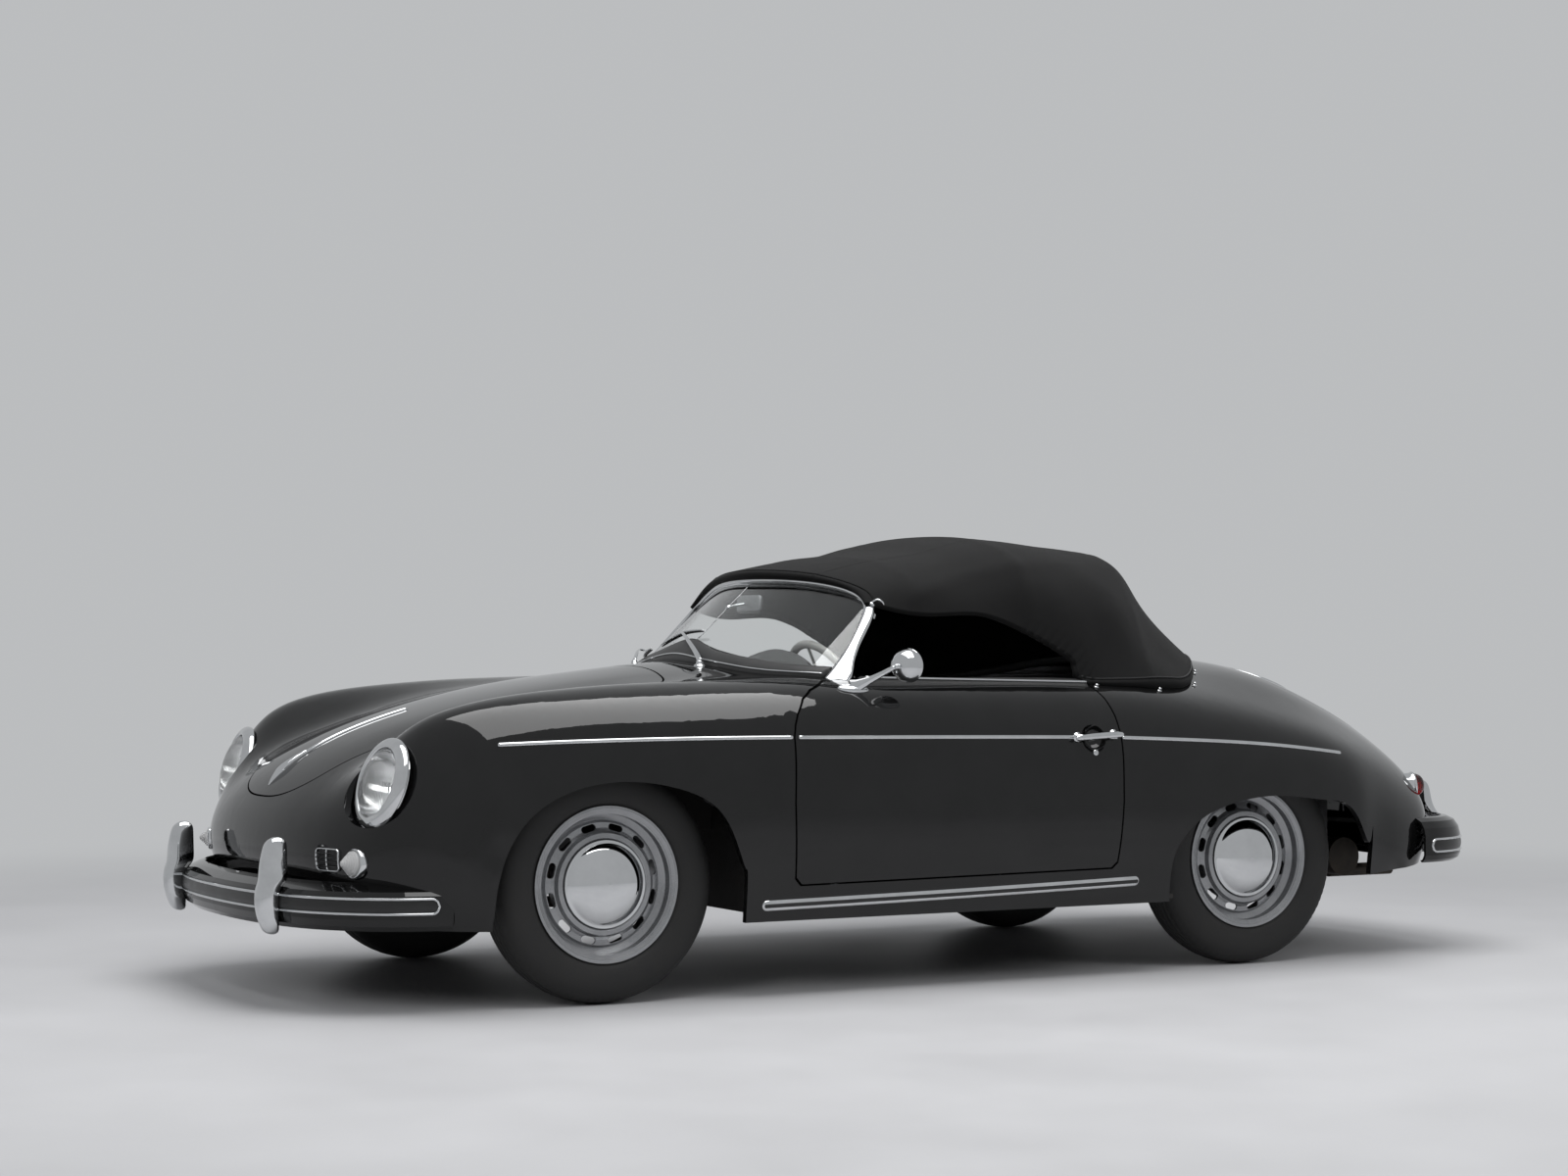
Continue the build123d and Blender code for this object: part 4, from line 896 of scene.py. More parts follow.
def pad_piece(name, centre, right, up, outline, rows, material, body="body"):
    """A flat pad: an outline scaled and lifted row by row along its own face direction."""
    centre, right, up = (np.asarray(v, float) for v in (centre, right, up))
    face = np.cross(right, up)
    grid = np.array([centre + h * face + k * (outline[:, :1] * right + outline[:, 1:] * up) for k, h in rows])
    return surface(name, grid, material, body)


pad_piece("mirror_back", glass_at, (1, 0, 0), (0, 0.1, 0.995), oblong(0.072, 0.026, 0.012),
          [(0, 0.008), (0.80, 0.0075), (0.95, 0.0055), (1, 0.002), (1, -0.004), (0.96, -0.006), (0, -0.006)],
          SILVER)
pad_piece("mirror_glass", glass_at, (1, 0, 0), (0, 0.1, 0.995), oblong(0.068, 0.022, 0.010),
          [(0, -0.0072), (1, -0.0072), (1, -0.005), (0, -0.005)], REFLECTOR)
clamp_at = screen(0.0, 1.062, -0.012)
tube("mirror_arm", [clamp_at, clamp_at + (0.012, 0.006, 0.002), glass_at + (-0.012, -0.009, 0)], 0.004,
     CHROME, 14, 10)
lathe("mirror_clamp", [(0, 9), (7, 8), (8, 5), (8, -5), (7, -8), (0, -9)], clamp_at, RAKE, 20, CHROME)

# wipers: from its spindle on the cowl each arm leans across the glass and carries a blade along its foot
for k, x in enumerate((0.205, -0.225)):
    foot, up = dropped(cowl, [(x, -0.600, 1.5)], (0, 0, -1))
    foot, up = foot[0], unit(up[0])
    boss = [(0, -4), (17, -4), (17, 1), (14, 4), (10, 6), (9, 13), (7, 16), (0, 17)]
    lathe(f"wiper_spindle_{k}", boss, foot, up, 24, CHROME)
    reach = np.array((-0.165, -0.285, -0.405)) if k == 0 else np.array((-0.130, -0.235, -0.335))
    low_z = np.interp(np.abs(x + reach), glass_low[100:, 0], glass_low[100:, 1])
    right, tip, left = (screen(x + d, z + h, 0.012) for d, z, h in zip(reach, low_z, (0.022, 0.020, 0.012)))
    start, finish_at = foot + 0.015 * up, tip + 0.008 * SCREEN_OUT
    arm_line = spline([start, start + 0.12 * (finish_at - start) + (0, 0, 0.006),
                       start + 0.55 * (finish_at - start) + (0, -0.006, 0.014), finish_at], 40)
    arm = surface(f"wiper_arm_{k}", swept(arm_line, circle(0.0062, 12, 0.55), SCREEN_OUT,
                  np.linspace(1.35, 0.55, 40)), CHROME)
    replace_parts(arm, "wipers")
    blade = spline([right, tip + 0.002 * SCREEN_OUT, left], 30)
    taper = 0.25 + 0.75 * np.sin(np.linspace(0, np.pi, 30)) ** 0.5
    surface(f"wiper_blade_{k}", swept(blade, circle(0.0042, 10, 0.8), SCREEN_OUT, taper), CHROME)
    surface(f"wiper_rubber_{k}", swept(blade - 0.006 * SCREEN_OUT, circle(0.0028, 8, 1.6), SCREEN_OUT, taper),
            SEAL)

# ---- door mirror, door caps
left_skin = skin("door_left")
mirror_foot, foot_up = dropped(left_skin, [(0.728, -0.392, 1.4)], (0, 0, -1))
mirror_foot, foot_up = mirror_foot[0], unit(foot_up[0])
along_foot = unit(np.cross(np.cross(foot_up, (0.12, 0.99, 0)), foot_up))
egg = circle(1.0, 44) * (0.047, 0.018)
pad_piece("mirror_foot", mirror_foot, along_foot, np.cross(foot_up, along_foot), egg,
          [(1.0, -0.004), (1.0, 0.002), (0.97, 0.0045), (0.86, 0.0078), (0.62, 0.0105), (0.3, 0.0118),
           (0, 0.012)], POLISHED, "door_left")
MIRROR_AT, MIRROR_AIM = np.array((0.785, -0.250, 0.888)), unit(np.array((-0.40, 0.91, 0.05)))
knuckle = MIRROR_AT - 0.047 * MIRROR_AIM
arm_path = spline([mirror_foot + 0.004 * foot_up - 0.004 * along_foot, mirror_foot + (0.030, 0.036, 0.026),
                   knuckle - 0.012 * MIRROR_AIM + (0, -0.004, -0.001)], 40)
width = np.interp(np.linspace(0, 1, 40), [0, 0.15, 0.4, 0.7, 1], [3.4, 2.3, 1.45, 1.05, 0.9])
stalk_side = (0.88, -0.47, 0.0)
arm_grid = swept(arm_path, circle(0.0070, 24), stalk_side, caps=False)
arm_across = unit(np.cross(unit(np.gradient(arm_path, axis=0)), stalk_side))[:, None]
from_line = arm_grid - arm_grid.mean(axis=1, keepdims=True)
spread = (from_line * arm_across).sum(axis=-1, keepdims=True) * arm_across
arm_grid = capped(arm_grid + spread * (width[:, None, None] - 1))
surface("mirror_stalk", arm_grid, POLISHED, "door_left")
lathe("mirror_knuckle", [(0, -17), (5, -16.5), (7, -14), (7.5, 0), (9, 6), (9, 9), (0, 9)], knuckle,
      MIRROR_AIM, 28, POLISHED, "door_left")
bowl = [(0, -46), (12, -45), (24, -41), (34, -34), (41, -24), (45, -12), (46.5, -3), (47.5, 0), (47.5, 3),
        (45.5, 4), (44.5, 2)]
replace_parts(lathe("mirror_bowl", spline(bowl, 60), MIRROR_AT, MIRROR_AIM, 96, POLISHED, "door_left"),
            "door_mirror")
lathe("mirror_face", [(45, 1), (30, 2.2), (0, 2.8)], MIRROR_AT, MIRROR_AIM, 64, REFLECTOR, "door_left")

# padded door caps with a bright rail along their outer edge
cap_y = np.linspace(-0.338, 0.392, 90)
rail_z = np.interp(cap_y, [-0.338, 0.0, 0.392], [0.8555, 0.8475, 0.8385])
for side, s in SIDES:
    door_top = skin(f"door_{side}")

    def top_at(x):
        """Height of the door's top surface along the cap, at a distance x from the centre line."""
        return evened(dropped(door_top, [(s * x, y, 1.2) for y in cap_y], (0, 0, -1))[0], 10)[:, 2]

    outer_z, inner_z = top_at(0.711), top_at(0.661)
    crown = np.maximum(rail_z, inner_z + 0.004)
    rows = [(0.714, outer_z - 0.004), (0.7125, outer_z + 0.002), (0.708, (outer_z + rail_z) / 2),
            (0.702, rail_z - 0.002), (0.692, (rail_z + crown) / 2 + 0.001), (0.680, crown + 0.002),
            (0.667, crown + 0.001), (0.658, crown - 0.004), (0.6535, inner_z - 0.001),
            (0.655, inner_z - 0.006)]
    grid = np.stack([np.stack([s * np.full(90, x), cap_y, z], -1) for x, z in rows], axis=1)
    surface(f"door_cap_{side}", capped(grid), LEATHERETTE, f"door_{side}")
    rail = np.stack([np.full(90, s * 0.7025), cap_y, rail_z], -1)
    surface(f"door_rail_{side}", swept(rail, circle(0.0036, 12), (0, 0, 1)), CHROME, f"door_{side}")

# ---- seats
def pleated(u, count, depth):
    """Sewn channels: rounded rolls side by side, pinched at each seam."""
    return depth * (np.abs(np.sin(np.pi * u * count)) ** 0.45 - 1)


SEAT_X, PAD_HALF = 0.345, 0.165


def channels(x, clear_of_ends):
    """Nine sewn channels across the middle of a pad, fading out towards its borders."""
    inner = np.clip((PAD_HALF - np.abs(x)) / 0.012, 0, 1) * clear_of_ends
    return pleated((x + PAD_HALF) / (2 * PAD_HALF), 9, 0.006) * inner


def cushion(name, s):
    """Seat pad: a rounded slab, crowned on top, with sewn channels running fore and aft."""
    u, v = np.meshgrid(np.linspace(-1, 1, 90), np.linspace(0, 1, 120, endpoint=False), indexing="ij")
    ca, sa = np.cos(v * 2 * np.pi), np.sin(v * 2 * np.pi)
    x, z = 0.212 * squared(ca, 0.45), 0.060 * squared(sa, 0.55)
    end = (1 - np.abs(u) ** 7) ** (1 / 3.2)
    top = np.clip(sa, 0, 1) ** 0.5
    crown = 0.020 * top * (1 - (x / 0.23) ** 2) * (1 - u ** 4)
    rolls = channels(x, np.clip((0.9 - np.abs(u)) / 0.06, 0, 1)) * top
    front = 0.030 * np.clip(-u, 0, 1) ** 2
    points = [s * SEAT_X + x * (0.35 + 0.65 * end), 0.060 + 0.235 * u,
              0.355 + front - 0.02 * u + z * end + crown + rolls]
    return surface(name, capped(np.stack(points, axis=-1)), LEATHER)


def backrest(name, s):
    """Seat back: a curved shell leaning back, rounded at its top, with upright channels on its face."""
    h = np.linspace(0, 1, 110)[:, None]
    spine = spline([(0.268, 0.400), (0.330, 0.520), (0.375, 0.640), (0.412, 0.745), (0.430, 0.800)], len(h))
    lean = unit(np.gradient(spine, axis=0))
    width = 0.222 * np.sqrt(np.clip(1 - np.clip((h - 0.55) / 0.46, 0, 1) ** 3.2, 0.0004, 1))
    width = width * (0.97 + 0.03 * h)
    width[:6] *= np.sqrt(np.linspace(0.15, 1, 6))[:, None]
    thick = 0.036 * np.sqrt(np.clip(1 - np.clip((h - 0.9) / 0.1, 0, 1) ** 2, 0.01, 1))
    thick = thick * np.sqrt(np.clip(h / 0.04, 0.02, 1))
    a = np.arange(120) * 2 * np.pi / 120
    x = width * squared(np.cos(a), 0.5)
    d = thick * squared(np.sin(a), 0.6)
    cup = 0.050 * (x / 0.222) ** 2
    below_top = np.clip((0.86 - h) / 0.05, 0, 1) * np.clip((width - np.abs(x) - 0.02) / 0.02, 0, 1)
    rolls = channels(x, below_top) * np.clip(-np.sin(a), 0, 1) ** 0.5
    points = [s * SEAT_X + x, spine[:, :1] + lean[:, 1:] * (cup + d + rolls * np.sign(d)),
              spine[:, 1:] - lean[:, :1] * (cup + d)]
    return surface(name, capped(np.stack(points, axis=-1)), LEATHER)


for side, s in SIDES:
    pad = cushion(f"seat_cushion_{side}", s)
    back = backrest(f"seat_back_{side}", s)
    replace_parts(pad, f"seat_{side}")
    for k, x in enumerate((s * SEAT_X - 0.16, s * SEAT_X + 0.16)):
        tube(f"seat_rail_{side}_{k}", [(x, -0.16, 0.242), (x, 0.28, 0.242)], 0.011, SATIN, 8)
        for j, y in enumerate((-0.12, 0.22)):
            tube(f"seat_leg_{side}_{k}_{j}", [(x, y, 0.240), (x, y, 0.310)], 0.009, SATIN, 6)

# ---- cabin
def box_piece(name, low, high, material, radius=0.004):
    """A block with rounded edges: a rounded oblong ring carried up through rounded shoulders."""
    low, high = np.array(low, float), np.array(high, float)
    half, mid = (high - low) / 2, (high + low) / 2
    r = min(radius, *(half * 0.98))
    turn = np.linspace(0, np.pi / 2, 5)
    shoulders = ([(r * np.sin(a), r * (1 - np.cos(a)) - half[2]) for a in turn]
                 + [(r * np.cos(a), half[2] - r * (1 - np.sin(a))) for a in turn])
    rings = [np.column_stack([oblong(*(half[:2] - r + t), t, 5), np.full(20, z)]) for t, z in shoulders]
    return surface(name, capped(np.array(rings) + mid), material)


# instruments on the dashboard's rear face
for k, (x, z) in enumerate(((0.230, 0.815), (0.350, 0.825), (0.470, 0.815))):
    at = (x, -0.392, z)
    lathe(f"dial_{k}", [(0, 0), (46, 0), (46, 4), (0, 4)], at, (0, 1, 0), 48, DIAL)
    bezel = [(44, 3), (45, 8), (48, 11), (51, 9), (53, 5), (53, 1)]
    lathe(f"dial_bezel_{k}", bezel, at, (0, 1, 0), 48, CHROME)
    face = np.array(at) + (0, 0.0046, 0)
    marks = []
    for t in range(25):
        a = math.radians(225 - 270 * t / 24)
        d, n = np.array((-math.cos(a), 0, math.sin(a))), 0.0007 * np.array((math.sin(a), 0, math.cos(a)))
        far, near = face + d * 0.041, face + d * (0.032 if t % 4 == 0 else 0.036)
        marks += [far - n, far + n, near + n, near - n]
    flat = np.arange(len(marks)).reshape(-1, 4)
    top = flat + len(marks)
    walls = [np.stack([flat[:, i], flat[:, i - 3], top[:, i - 3], top[:, i]], axis=1) for i in range(4)]
    mesh_piece(f"dial_marks_{k}", np.concatenate([marks, np.array(marks) + (0, 0.0006, 0)]),
               np.concatenate([flat[:, ::-1], top, *walls]), MARKING, smooth=False)
    a = math.radians(225 - 60 * (k + 0.5))
    d, pivot = np.array((-math.cos(a), 0, math.sin(a))), np.array(at) + (0, 0.0065, 0)
    tube(f"dial_needle_{k}", [pivot - d * 0.008, pivot + d * 0.034], 0.0009, WHITE, 8, 6)

for k, (x, z) in enumerate(((0.135, 0.780), (0.100, 0.825), (0.560, 0.800), (0.040, 0.780), (-0.060, 0.780))):
    lathe(f"dash_knob_{k}", [(0, 22), (8, 22), (10, 19), (10, 14), (5, 11), (4, 0), (9, -1), (0, -2)],
          (x, -0.386, z), (0, 1, 0), 24, IVORY)

# door linings: a padded card round the open pocket
card_edge, pocket_edge = oblong(0.485, 0.240, 0.045, 16), oblong(0.335, 0.128, 0.040, 16)
for side, s in SIDES:
    card_at, pocket_at = np.array((-0.098, 0.585)), np.array((-0.075, 0.560))
    rows = [(0.00, -0.002), (0.00, 0.003), (0.02, 0.0055), (0.10, 0.0065), (0.5, 0.007), (0.90, 0.0065),
            (0.98, 0.0050), (1.00, 0.002), (1.00, -0.002)]
    grid = np.array([np.concatenate([np.full((64, 1), s * (0.652 - h)), (1 - k) * (card_at + card_edge)
                                     + k * (pocket_at + pocket_edge)], axis=1) for k, h in rows])
    surface(f"door_card_{side}", np.concatenate([grid, grid[:1]]), LEATHERETTE, f"door_{side}")

# padded hood of the dashboard over the instruments
DIALS_X, HUMP_HALF = 0.350, 0.205
u, v = np.meshgrid(np.linspace(-1, 1, 61), np.linspace(0, 1, 33), indexing="ij")
hump_x = DIALS_X + HUMP_HALF * u
arch = 0.072 * (1 - np.abs(u) ** 2.6) ** 0.8
deep = np.clip(v / 0.8, 0, 1)
level = np.interp(np.abs(hump_x), (0.05, 0.15, 0.25, 0.35, 0.45, 0.55),
                  (0.889, 0.881, 0.869, 0.857, 0.846, 0.840))
hump_z = level - 0.004 + arch * eased(deep) ** 0.7
hump_y = -0.530 + 0.141 * deep
back_z = hump_z[:, 26:27] + (level[:, 26:27] - 0.010 - hump_z[:, 26:27]) * np.clip((v - 0.8) / 0.2, 0, 1)
hump_z = np.where(v > 0.8, back_z, hump_z)
surface("dash_hood", np.stack([hump_x, hump_y, hump_z], -1), DASH_TOP, wrap_v=False)

# padded roll along the cockpit's edge behind the seats
half_edge = [(0.0, 0.905, 0.911), (0.1, 0.901, 0.908), (0.2, 0.887, 0.901), (0.3, 0.860, 0.891),
             (0.4, 0.819, 0.874), (0.45, 0.791, 0.867), (0.5, 0.754, 0.858), (0.55, 0.703, 0.849),
             (0.6, 0.616, 0.8385), (0.63, 0.553, 0.838)]
edge_line = spline([(-x, y, z) for x, y, z in half_edge[:0:-1]] + half_edge, 160)
edge_line = edge_line + (0, -0.004, -0.0105)
surface("cockpit_edge_roll", swept(edge_line, circle(0.007, 14) * (1.0, 1.75), (0, 0, 1)), LEATHERETTE)

# carpets in both footwells and on the tunnel's sides
for side, s in SIDES:
    low, high = sorted((s * 0.082, s * 0.625))
    box_piece(f"carpet_{side}", (low, -0.640, 0.2262), (high, -0.180, 0.2345), CARPET, 0.004)
    low, high = sorted((s * 0.0755, s * 0.0815))
    box_piece(f"tunnel_carpet_{side}", (low, -0.640, 0.2345), (high, -0.180, 0.340), CARPET, 0.003)

# steering wheel: a thin grooved rim, three spokes and a horn button, all turning together
COLUMN_AT, COLUMN = np.array((0.350, -0.244, 0.764)), unit(np.array((0, 0.906, 0.423)))
wheel_up = unit(np.cross((1, 0, 0), COLUMN))
a = np.arange(180) * 2 * np.pi / 180
ring = COLUMN_AT + 0.198 * (np.cos(a)[:, None] * (1, 0, 0) + np.sin(a)[:, None] * wheel_up)
out = unit(ring - COLUMN_AT)
b = np.arange(24) * 2 * np.pi / 24
grip = 0.0118 - 0.0011 * (np.clip(np.cos((a * 36)), 0.6, 1) - 0.6)[:, None] * np.clip(-np.sin(b), 0, 1)[None]
pts = ring[:, None] + grip[..., None] * (np.cos(b)[:, None] * out[:, None] + np.sin(b)[:, None] * COLUMN)
rim_piece = surface("steering_rim", pts, IVORY, "steering_wheel", wrap_u=True)
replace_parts(rim_piece, "steering_wheel")
for k in range(3):
    t = math.radians(90 + 120 * k)
    d = math.cos(t) * np.array((1.0, 0, 0)) + math.sin(t) * wheel_up
    line = np.linspace(COLUMN_AT + 0.020 * d - 0.004 * COLUMN, COLUMN_AT + 0.192 * d, 24)
    surface(f"steering_spoke_{k}", swept(line, circle(0.008, 12, 0.35), COLUMN, np.linspace(1.25, 0.9, 24)),
            IVORY, "steering_wheel")
hub = [(0, -14), (24, -14), (29, -8), (30, 2), (27, 10), (22, 12), (0, 12)]
lathe("steering_hub", hub, COLUMN_AT, COLUMN, 48, IVORY, "steering_wheel")
button = [(0, 19), (10, 18.5), (17, 16), (20, 12.5), (20, 11), (0, 11)]
lathe("horn_button", button, COLUMN_AT, COLUMN, 48, CHROME, "steering_wheel")
tube("steering_column", [COLUMN_AT - 0.014 * COLUMN, COLUMN_AT - 0.365 * COLUMN], 0.0155, SATIN, 12,
     body="steering_wheel")

# gear lever and pedals
tube("gear_lever", [(0, -0.06, 0.345), (0.002, -0.075, 0.45), (0.010, -0.10, 0.56)], 0.006, CHROME, 20, 10)
lathe("gear_knob", [(0, 34), (10, 32), (18, 24), (21, 14), (18, 4), (9, -4), (6, -8), (0, -8)],
      (0.011, -0.101, 0.562), (0.05, -0.15, 1), 32, IVORY)
boot = [(0, 0), (46, 0), (44, 8), (34, 14), (36, 20), (24, 27), (26, 33), (14, 42), (7, 52), (0, 54)]
lathe("gear_boot", boot, (0, -0.06, 0.349), (0, 0, 1), 32, SEAL)
for k, x in enumerate((0.220, 0.310, 0.400)):
    box_piece(f"pedal_{k}", (x - 0.026, -0.560, 0.345), (x + 0.026, -0.548, 0.415), SEAL, 0.004)
    tube(f"pedal_arm_{k}", [(x, -0.556, 0.36), (x, -0.60, 0.29), (x, -0.63, 0.226)], 0.006, SATIN, 14, 8)

# ---- hood edges and rear window
# the front roll closes on the windscreen's top rail
front_edge = spline(outer_hood[0], 260)
rail = spline(whole([(0, 1133), (264, 1124), (400, 1106), (468, 1089), (514, 1070), (545, 1050)]), 260)
rail_x = np.clip(front_edge[:, 0] * 0.965, rail[0, 0], rail[-1, 0])
rail_line = screen(rail_x, np.interp(rail_x, rail[:, 0], rail[:, 1]), 0.009)
ribbon("hood_front_roll", front_edge + (0, 0, 0.001), rail_line, unit(np.array((0, -0.9, 0.43))), 0.009,
       0.010, CLOTH)
surface("hood_front_seam", swept(front_edge + (0, 0.004, 0.0015), circle(0.0032, 10), (0, 0, 1)), CLOTH)
# the side openings' rolled edges, then the hem along the body
for side, s in SIDES:
    edge = outer_hood[:hem_row + 2, -1 if s > 0 else 0]
    line = spline(edge, 200)
    thick = 0.0085 * (1 + 0.10 * np.sin(np.linspace(0, 40, 200)) * np.linspace(0, 1, 200) ** 2)
    surface(f"hood_side_roll_{side}", swept(line + (-s * 0.006, 0, 0.001), circle(1.0, 16), (s * 0.8, 0, 0.6),
            thick), CLOTH)
hem_path = np.concatenate([outer_hood[hem_row - 1:, 0], outer_hood[-1, 1:-1],
                           outer_hood[hem_row - 1:, -1][::-1]])
hem_count = 520
hem_path = evened(spline(hem_path, hem_count), 20)
deck = skin("rear_body", "engine_lid", "door_left", "door_right")
hem_low, _ = dropped(deck, hem_path, (0, 0, -1))
hem_low = np.stack([hem_path[:, 0], hem_path[:, 1], evened(hem_low[:, 2:], 30)[:, 0] - 0.001], axis=1)
middle = np.array((0, 0.62, 0.0))
hem_out = unit((hem_path - middle) * (1, 1, 0))
ribbon("hood_hem", hem_path + (0, 0, 0.003), hem_low, hem_out, 0.008, 0.010, CLOTH, 13)
surface("hood_hem_seam", swept(hem_path + 0.0015 * hem_out + (0, 0, 0.006), circle(0.0022, 8), (0, 0, 1)),
        SEAL)

# turn buttons on the body below the hem
stud = [(0, 10), (2.5, 9.6), (5, 8.2), (5.6, 6), (3.2, 4.4), (3.2, 2.2), (7, 1.6), (7.4, 0), (7, -2), (0, -2)]
outward = hem_low + 0.016 * hem_out
for k, share_at in enumerate((0.02, 0.12, 0.22, 0.30, 0.38, 0.45, 0.55, 0.62, 0.70, 0.78, 0.88, 0.98)):
    here = outward[int(share_at * (hem_count - 1))]
    foot, up = dropped(deck, [here + (0, 0, 0.3)], (0, 0, -1))
    lathe(f"hood_button_{k}", stud, foot[0], unit(up[0]), 20, CHROME)
for side, s in SIDES:
    corner_at = screen(s * 0.556, 1.052, 0.010)
    hook = spline([corner_at + (0, 0.010, 0.004), corner_at + (s * 0.012, 0.020, 0.012),
                   corner_at + (s * 0.018, 0.034, 0.004), corner_at + (s * 0.012, 0.040, -0.008)], 24)
    surface(f"hood_catch_{side}", swept(hook, circle(0.0035, 10), (0, 0, 1)), CHROME)
    lathe(f"hood_catch_plate_{side}", [(0, 5), (6, 4.5), (9, 2), (9.5, -3), (0, -3)],
          corner_at + (s * 0.002, 0.010, 0), (s * 0.6, 0.3, 0.75), 20, CHROME)

# the sewn binding round the rear window
cloth_tree = BVHTree.FromPolygons([tuple(p) for p in hood_grid.reshape(-1, 3)],
                                  quads(hood_rows, hood_cols).tolist())
outline = closed_run(oblong(*WINDOW_HALF, WINDOW_ROUND, 12), 240)
starts = WINDOW_AT + outline[:, :1] * (1, 0, 0) + outline[:, 1:] * WINDOW_UP + 0.4 * WINDOW_OUT
section = np.array([(-0.016, -0.006), (-0.016, 0.0015), (-0.012, 0.003), (0, 0.0036), (0.012, 0.003),
                    (0.016, 0.0015), (0.016, -0.006)])
ring_bead("rear_window_binding", *dropped(cloth_tree, starts, tuple(-WINDOW_OUT)), section, CLOTH)

# ---- tail: lamps and lid grille
TAIL_AT, TAIL_AIM = (0.556, 1.712, 0.506), (0.40, 0.91, 0.10)
for side, s in SIDES:
    at, aim = aimed(TAIL_AT, TAIL_AIM, s)
    cup = [(38, -58), (39, -20), (40, -2), (41.5, 0), (41.5, 4), (38, 8), (35, 6)]
    lathe(f"tail_lamp_rim_{side}", spline(cup, 36), at, aim, 56, CHROME)
    dome = [(36, 2), (36, 8), (33, 18), (26, 29), (14, 36), (0, 39)]
    lens = lathe(f"tail_lamp_lens_{side}", spline(dome, 26), at, aim, 56, RED_LENS)
    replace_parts(lens, "tail_lamps")
    lathe(f"tail_lamp_bowl_{side}", [(35, 5), (26, -4), (12, -8), (0, -9)], at, aim, 32, REFLECTOR)

lid_skin = skin("engine_lid")
for k in range(13):
    x = (k - 6) * 0.030
    half = 0.118 * math.sqrt(max(1 - (x / 0.215) ** 2, 0.02))
    starts = [(x, 1.450 + t, 1.5) for t in np.linspace(-half, half, 26)]
    bead(f"lid_louvre_{k}", lid_skin, starts, (0, 0, -1), half_round(0.012, 0.007), CHROME, "engine_lid",
         tips=(1.2, 1.2))
q = np.arange(140) * 2 * np.pi / 140
starts = np.stack([0.208 * np.cos(q), 1.450 + 0.132 * np.sin(q), np.full(140, 1.5)], axis=1)
ring_bead("lid_grille_frame", *dropped(lid_skin, starts, (0, 0, -1)), half_round(0.011, 0.008), CHROME,
          "engine_lid")

# ---- horn grilles
GRILLE_AT, GRILLE_HALF = (0.494, 0.391), (0.042, 0.027)
nose = skin("front_body")
for side, s in SIDES:
    (cx, cz), (hx, hz) = GRILLE_AT, GRILLE_HALF
    ring = closed_run(oblong(hx, hz, 0.010, 6), 90)
    frame_piece = ring_bead(f"horn_grille_frame_{side}",
                            *dropped(nose, [(s * (cx + a), -2.2, cz + b) for a, b in ring], (0, 1, 0)),
                            half_round(0.006, 0.008), CHROME)
    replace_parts(frame_piece, "horn_grilles")
    pad, pad_up = dropped(nose, [(s * (cx + a), -2.2, cz + b) for b in np.linspace(-hz, hz, 12) * 0.96
                                 for a in np.linspace(-hx, hx, 14) * 0.96], (0, 1, 0))
    pad, pad_up = pad.reshape(12, 14, 3), pad_up.reshape(12, 14, 3)
    both = np.concatenate([pad + 0.0015 * pad_up, (pad - 0.001 * pad_up)[:, ::-1]], axis=1)
    surface(f"horn_grille_back_{side}", both, SEAL, "body")
    for k in range(4):
        z = cz + hz * (-0.6 + 0.4 * k)
        hits, ups = dropped(nose, [(s * x, -2.2, z) for x in np.linspace(cx - hx, cx + hx, 14)], (0, 1, 0))
        surface(f"horn_grille_bar_{side}_{k}", swept(hits + 0.004 * ups, circle(0.0028, 10, 1.4), ups), PAINT)
    hits, ups = dropped(nose, [(s * cx, -2.2, z) for z in np.linspace(cz - hz, cz + hz, 12)], (0, 1, 0))
    surface(f"horn_grille_post_{side}", swept(hits + 0.0055 * ups, circle(0.0022, 10), ups), CHROME)

# ---- door furniture
for side, s in SIDES:
    door = f"door_{side}"
    door_skin = skin(door)
    bar = spline([(s * 0.845, 0.262, 0.682), (s * 0.8485, 0.300, 0.6855), (s * 0.8493, 0.350, 0.6885),
                  (s * 0.848, 0.400, 0.6905), (s * 0.8455, 0.424, 0.690)], 50)
    size = np.interp(np.linspace(0, 1, 50), [0, 0.05, 0.3, 0.8, 0.97, 1], [0.35, 0.8, 1.0, 1.05, 0.8, 0.3])
    handle = surface(f"door_grip_{side}", swept(bar, circle(0.0085, 18, 0.62), (s, 0, 0), size), CHROME, door)
    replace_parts(handle, f"door_handle_{side}")
    for k, (y, z) in enumerate(((0.280, 0.684), (0.405, 0.690))):
        foot, up = dropped(door_skin if k == 0 else skin(door, "rear_body"), [(s * 1.2, y, z)], (-s, 0, 0))
        post = [(0, -2), (15, -2), (14.5, 2), (11, 4), (8.5, 8), (8, 26), (0, 27)]
        lathe(f"door_grip_post_{side}_{k}", post, foot[0], (s, 0, 0.04), 28, CHROME, door)
    lathe(f"door_lock_{side}", [(0, 6), (3, 6.2), (7, 5.8), (8.5, 4), (9, 0), (9, -3), (0, -3)],
          dropped(door_skin, [(s * 1.2, 0.335, 0.640)], (-s, 0, 0))[0][0], (s, 0, 0.1), 28, CHROME, door)

# ---- stage
BACKGROUND = (0.50, 0.51, 0.52, 1)


def seen_directly(tree):
    """1 for what the camera, a reflection or a look through glass sees, 0 for light on surfaces."""
    rays = tree.nodes.new("ShaderNodeLightPath")
    return maths(tree, "ADD", maths(tree, "ADD", rays.outputs["Is Camera Ray"],
                                    rays.outputs["Is Glossy Ray"]), rays.outputs["Is Transmission Ray"],
                 clamp=True)


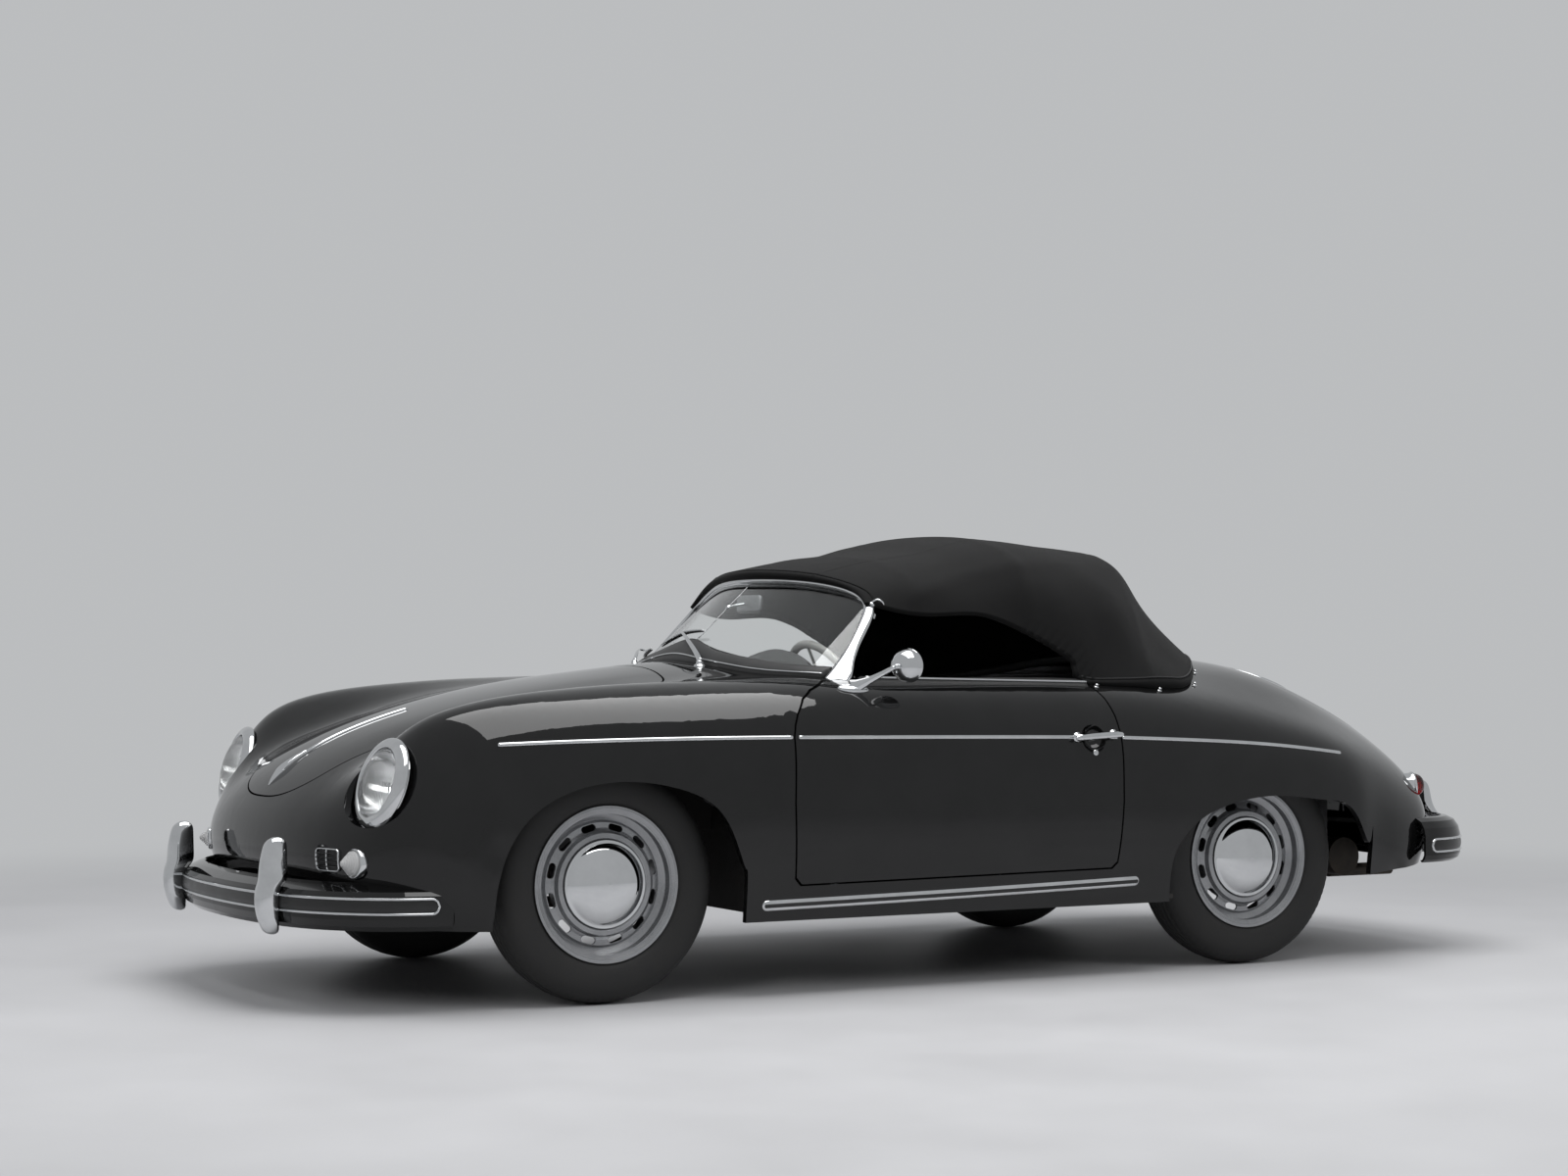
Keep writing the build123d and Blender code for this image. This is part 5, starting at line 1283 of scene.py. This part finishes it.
def stage():
    """A wide pale floor, soft lamps and the camera."""
    mesh = bpy.data.meshes.new("studio_floor")
    r = 40.0
    mesh.from_pydata([(-r, -r, 0), (r, -r, 0), (r, r, 0), (-r, r, 0)], [], [(0, 1, 2, 3)])
    floor = bpy.data.objects.new("studio_floor", mesh)
    bpy.context.scene.collection.objects.link(floor)
    pale = finish("pale_floor", grey(0.46), grey(0.50), (0.45, 0.6), 0.0, 1.5, 120.0, (0.02, 0.0005))
    mesh.materials.append(pale)
    t = pale.node_tree
    place, far = t.nodes.new("ShaderNodeTexCoord"), node(t, "ShaderNodeEmission", {"Color": BACKGROUND})
    reach = node(t, "ShaderNodeVectorMath", operation="LENGTH")
    t.links.new(place.outputs["Object"], reach.inputs[0])
    fade = node(t, "ShaderNodeMapRange", {"From Min": 2.6, "From Max": 6.5},
                interpolation_type="SMOOTHERSTEP")
    t.links.new(reach.outputs["Value"], fade.inputs["Value"])
    blend = t.nodes.new("ShaderNodeMixShader")
    t.links.new(maths(t, "MULTIPLY", fade.outputs[0], seen_directly(t)), blend.inputs[0])
    t.links.new(t.nodes["Principled BSDF"].outputs[0], blend.inputs[1])
    t.links.new(far.outputs[0], blend.inputs[2])
    t.links.new(blend.outputs[0], t.nodes["Material Output"].inputs[0])
    floor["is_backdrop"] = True
    for name, place, aim, size, power in (("lamp_above", (1.2, -0.3, 5.6), (1.2, -0.3, 0.6), (5.6, 4.5), 330),
                                          ("lamp_front", (4.5, -7.0, 4.2), (0, -0.6, 0.5), (3.5, 2.5), 130),
                                          ("lamp_side", (6.5, 4.5, 4.0), (0, 0.6, 0.6), (3.5, 2.5), 110)):
        light = bpy.data.lights.new(name, "AREA")
        light.shape, light.size, light.size_y, light.energy = "RECTANGLE", size[0], size[1], power
        lamp = bpy.data.objects.new(name, light)
        lamp.location = place
        lamp.visible_glossy = name == "lamp_above"
        lamp.rotation_euler = (Vector(aim) - Vector(place)).to_track_quat("-Z", "Y").to_euler()
        bpy.context.scene.collection.objects.link(lamp)
    world = bpy.data.worlds.new("studio")
    bpy.context.scene.world = world
    world.use_nodes = True
    t = world.node_tree
    soft, seen = t.nodes["Background"], t.nodes.new("ShaderNodeBackground")
    sky, split = t.nodes.new("ShaderNodeTexCoord"), t.nodes.new("ShaderNodeSeparateXYZ")
    t.links.new(sky.outputs["Generated"], split.inputs[0])
    rise = node(t, "ShaderNodeMapRange", {"From Min": 0.02, "From Max": 0.62, "To Min": 0.10, "To Max": 0.95},
                interpolation_type="SMOOTHERSTEP")
    t.links.new(split.outputs[2], rise.inputs["Value"])
    soft.inputs[0].default_value = (0.55, 0.56, 0.58, 1)
    t.links.new(rise.outputs[0], soft.inputs[1])
    seen.inputs[0].default_value, seen.inputs[1].default_value = BACKGROUND, 1.0
    mix = t.nodes.new("ShaderNodeMixShader")
    t.links.new(seen_directly(t), mix.inputs[0])
    t.links.new(soft.outputs[0], mix.inputs[1])
    t.links.new(seen.outputs[0], mix.inputs[2])
    t.links.new(mix.outputs[0], t.nodes["World Output"].inputs[0])
    lens = bpy.data.cameras.new("camera")
    lens.lens, lens.sensor_width = 69.19, 36.0
    camera = bpy.data.objects.new("camera", lens)
    camera.location = (7.907, -4.488, 0.955)
    camera.rotation_euler = (math.radians(91.01), 0, math.radians(61.61))
    bpy.context.scene.collection.objects.link(camera)
    bpy.context.scene.camera = camera
    bpy.context.scene.view_settings.view_transform = "Standard"


stage()
low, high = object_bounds()
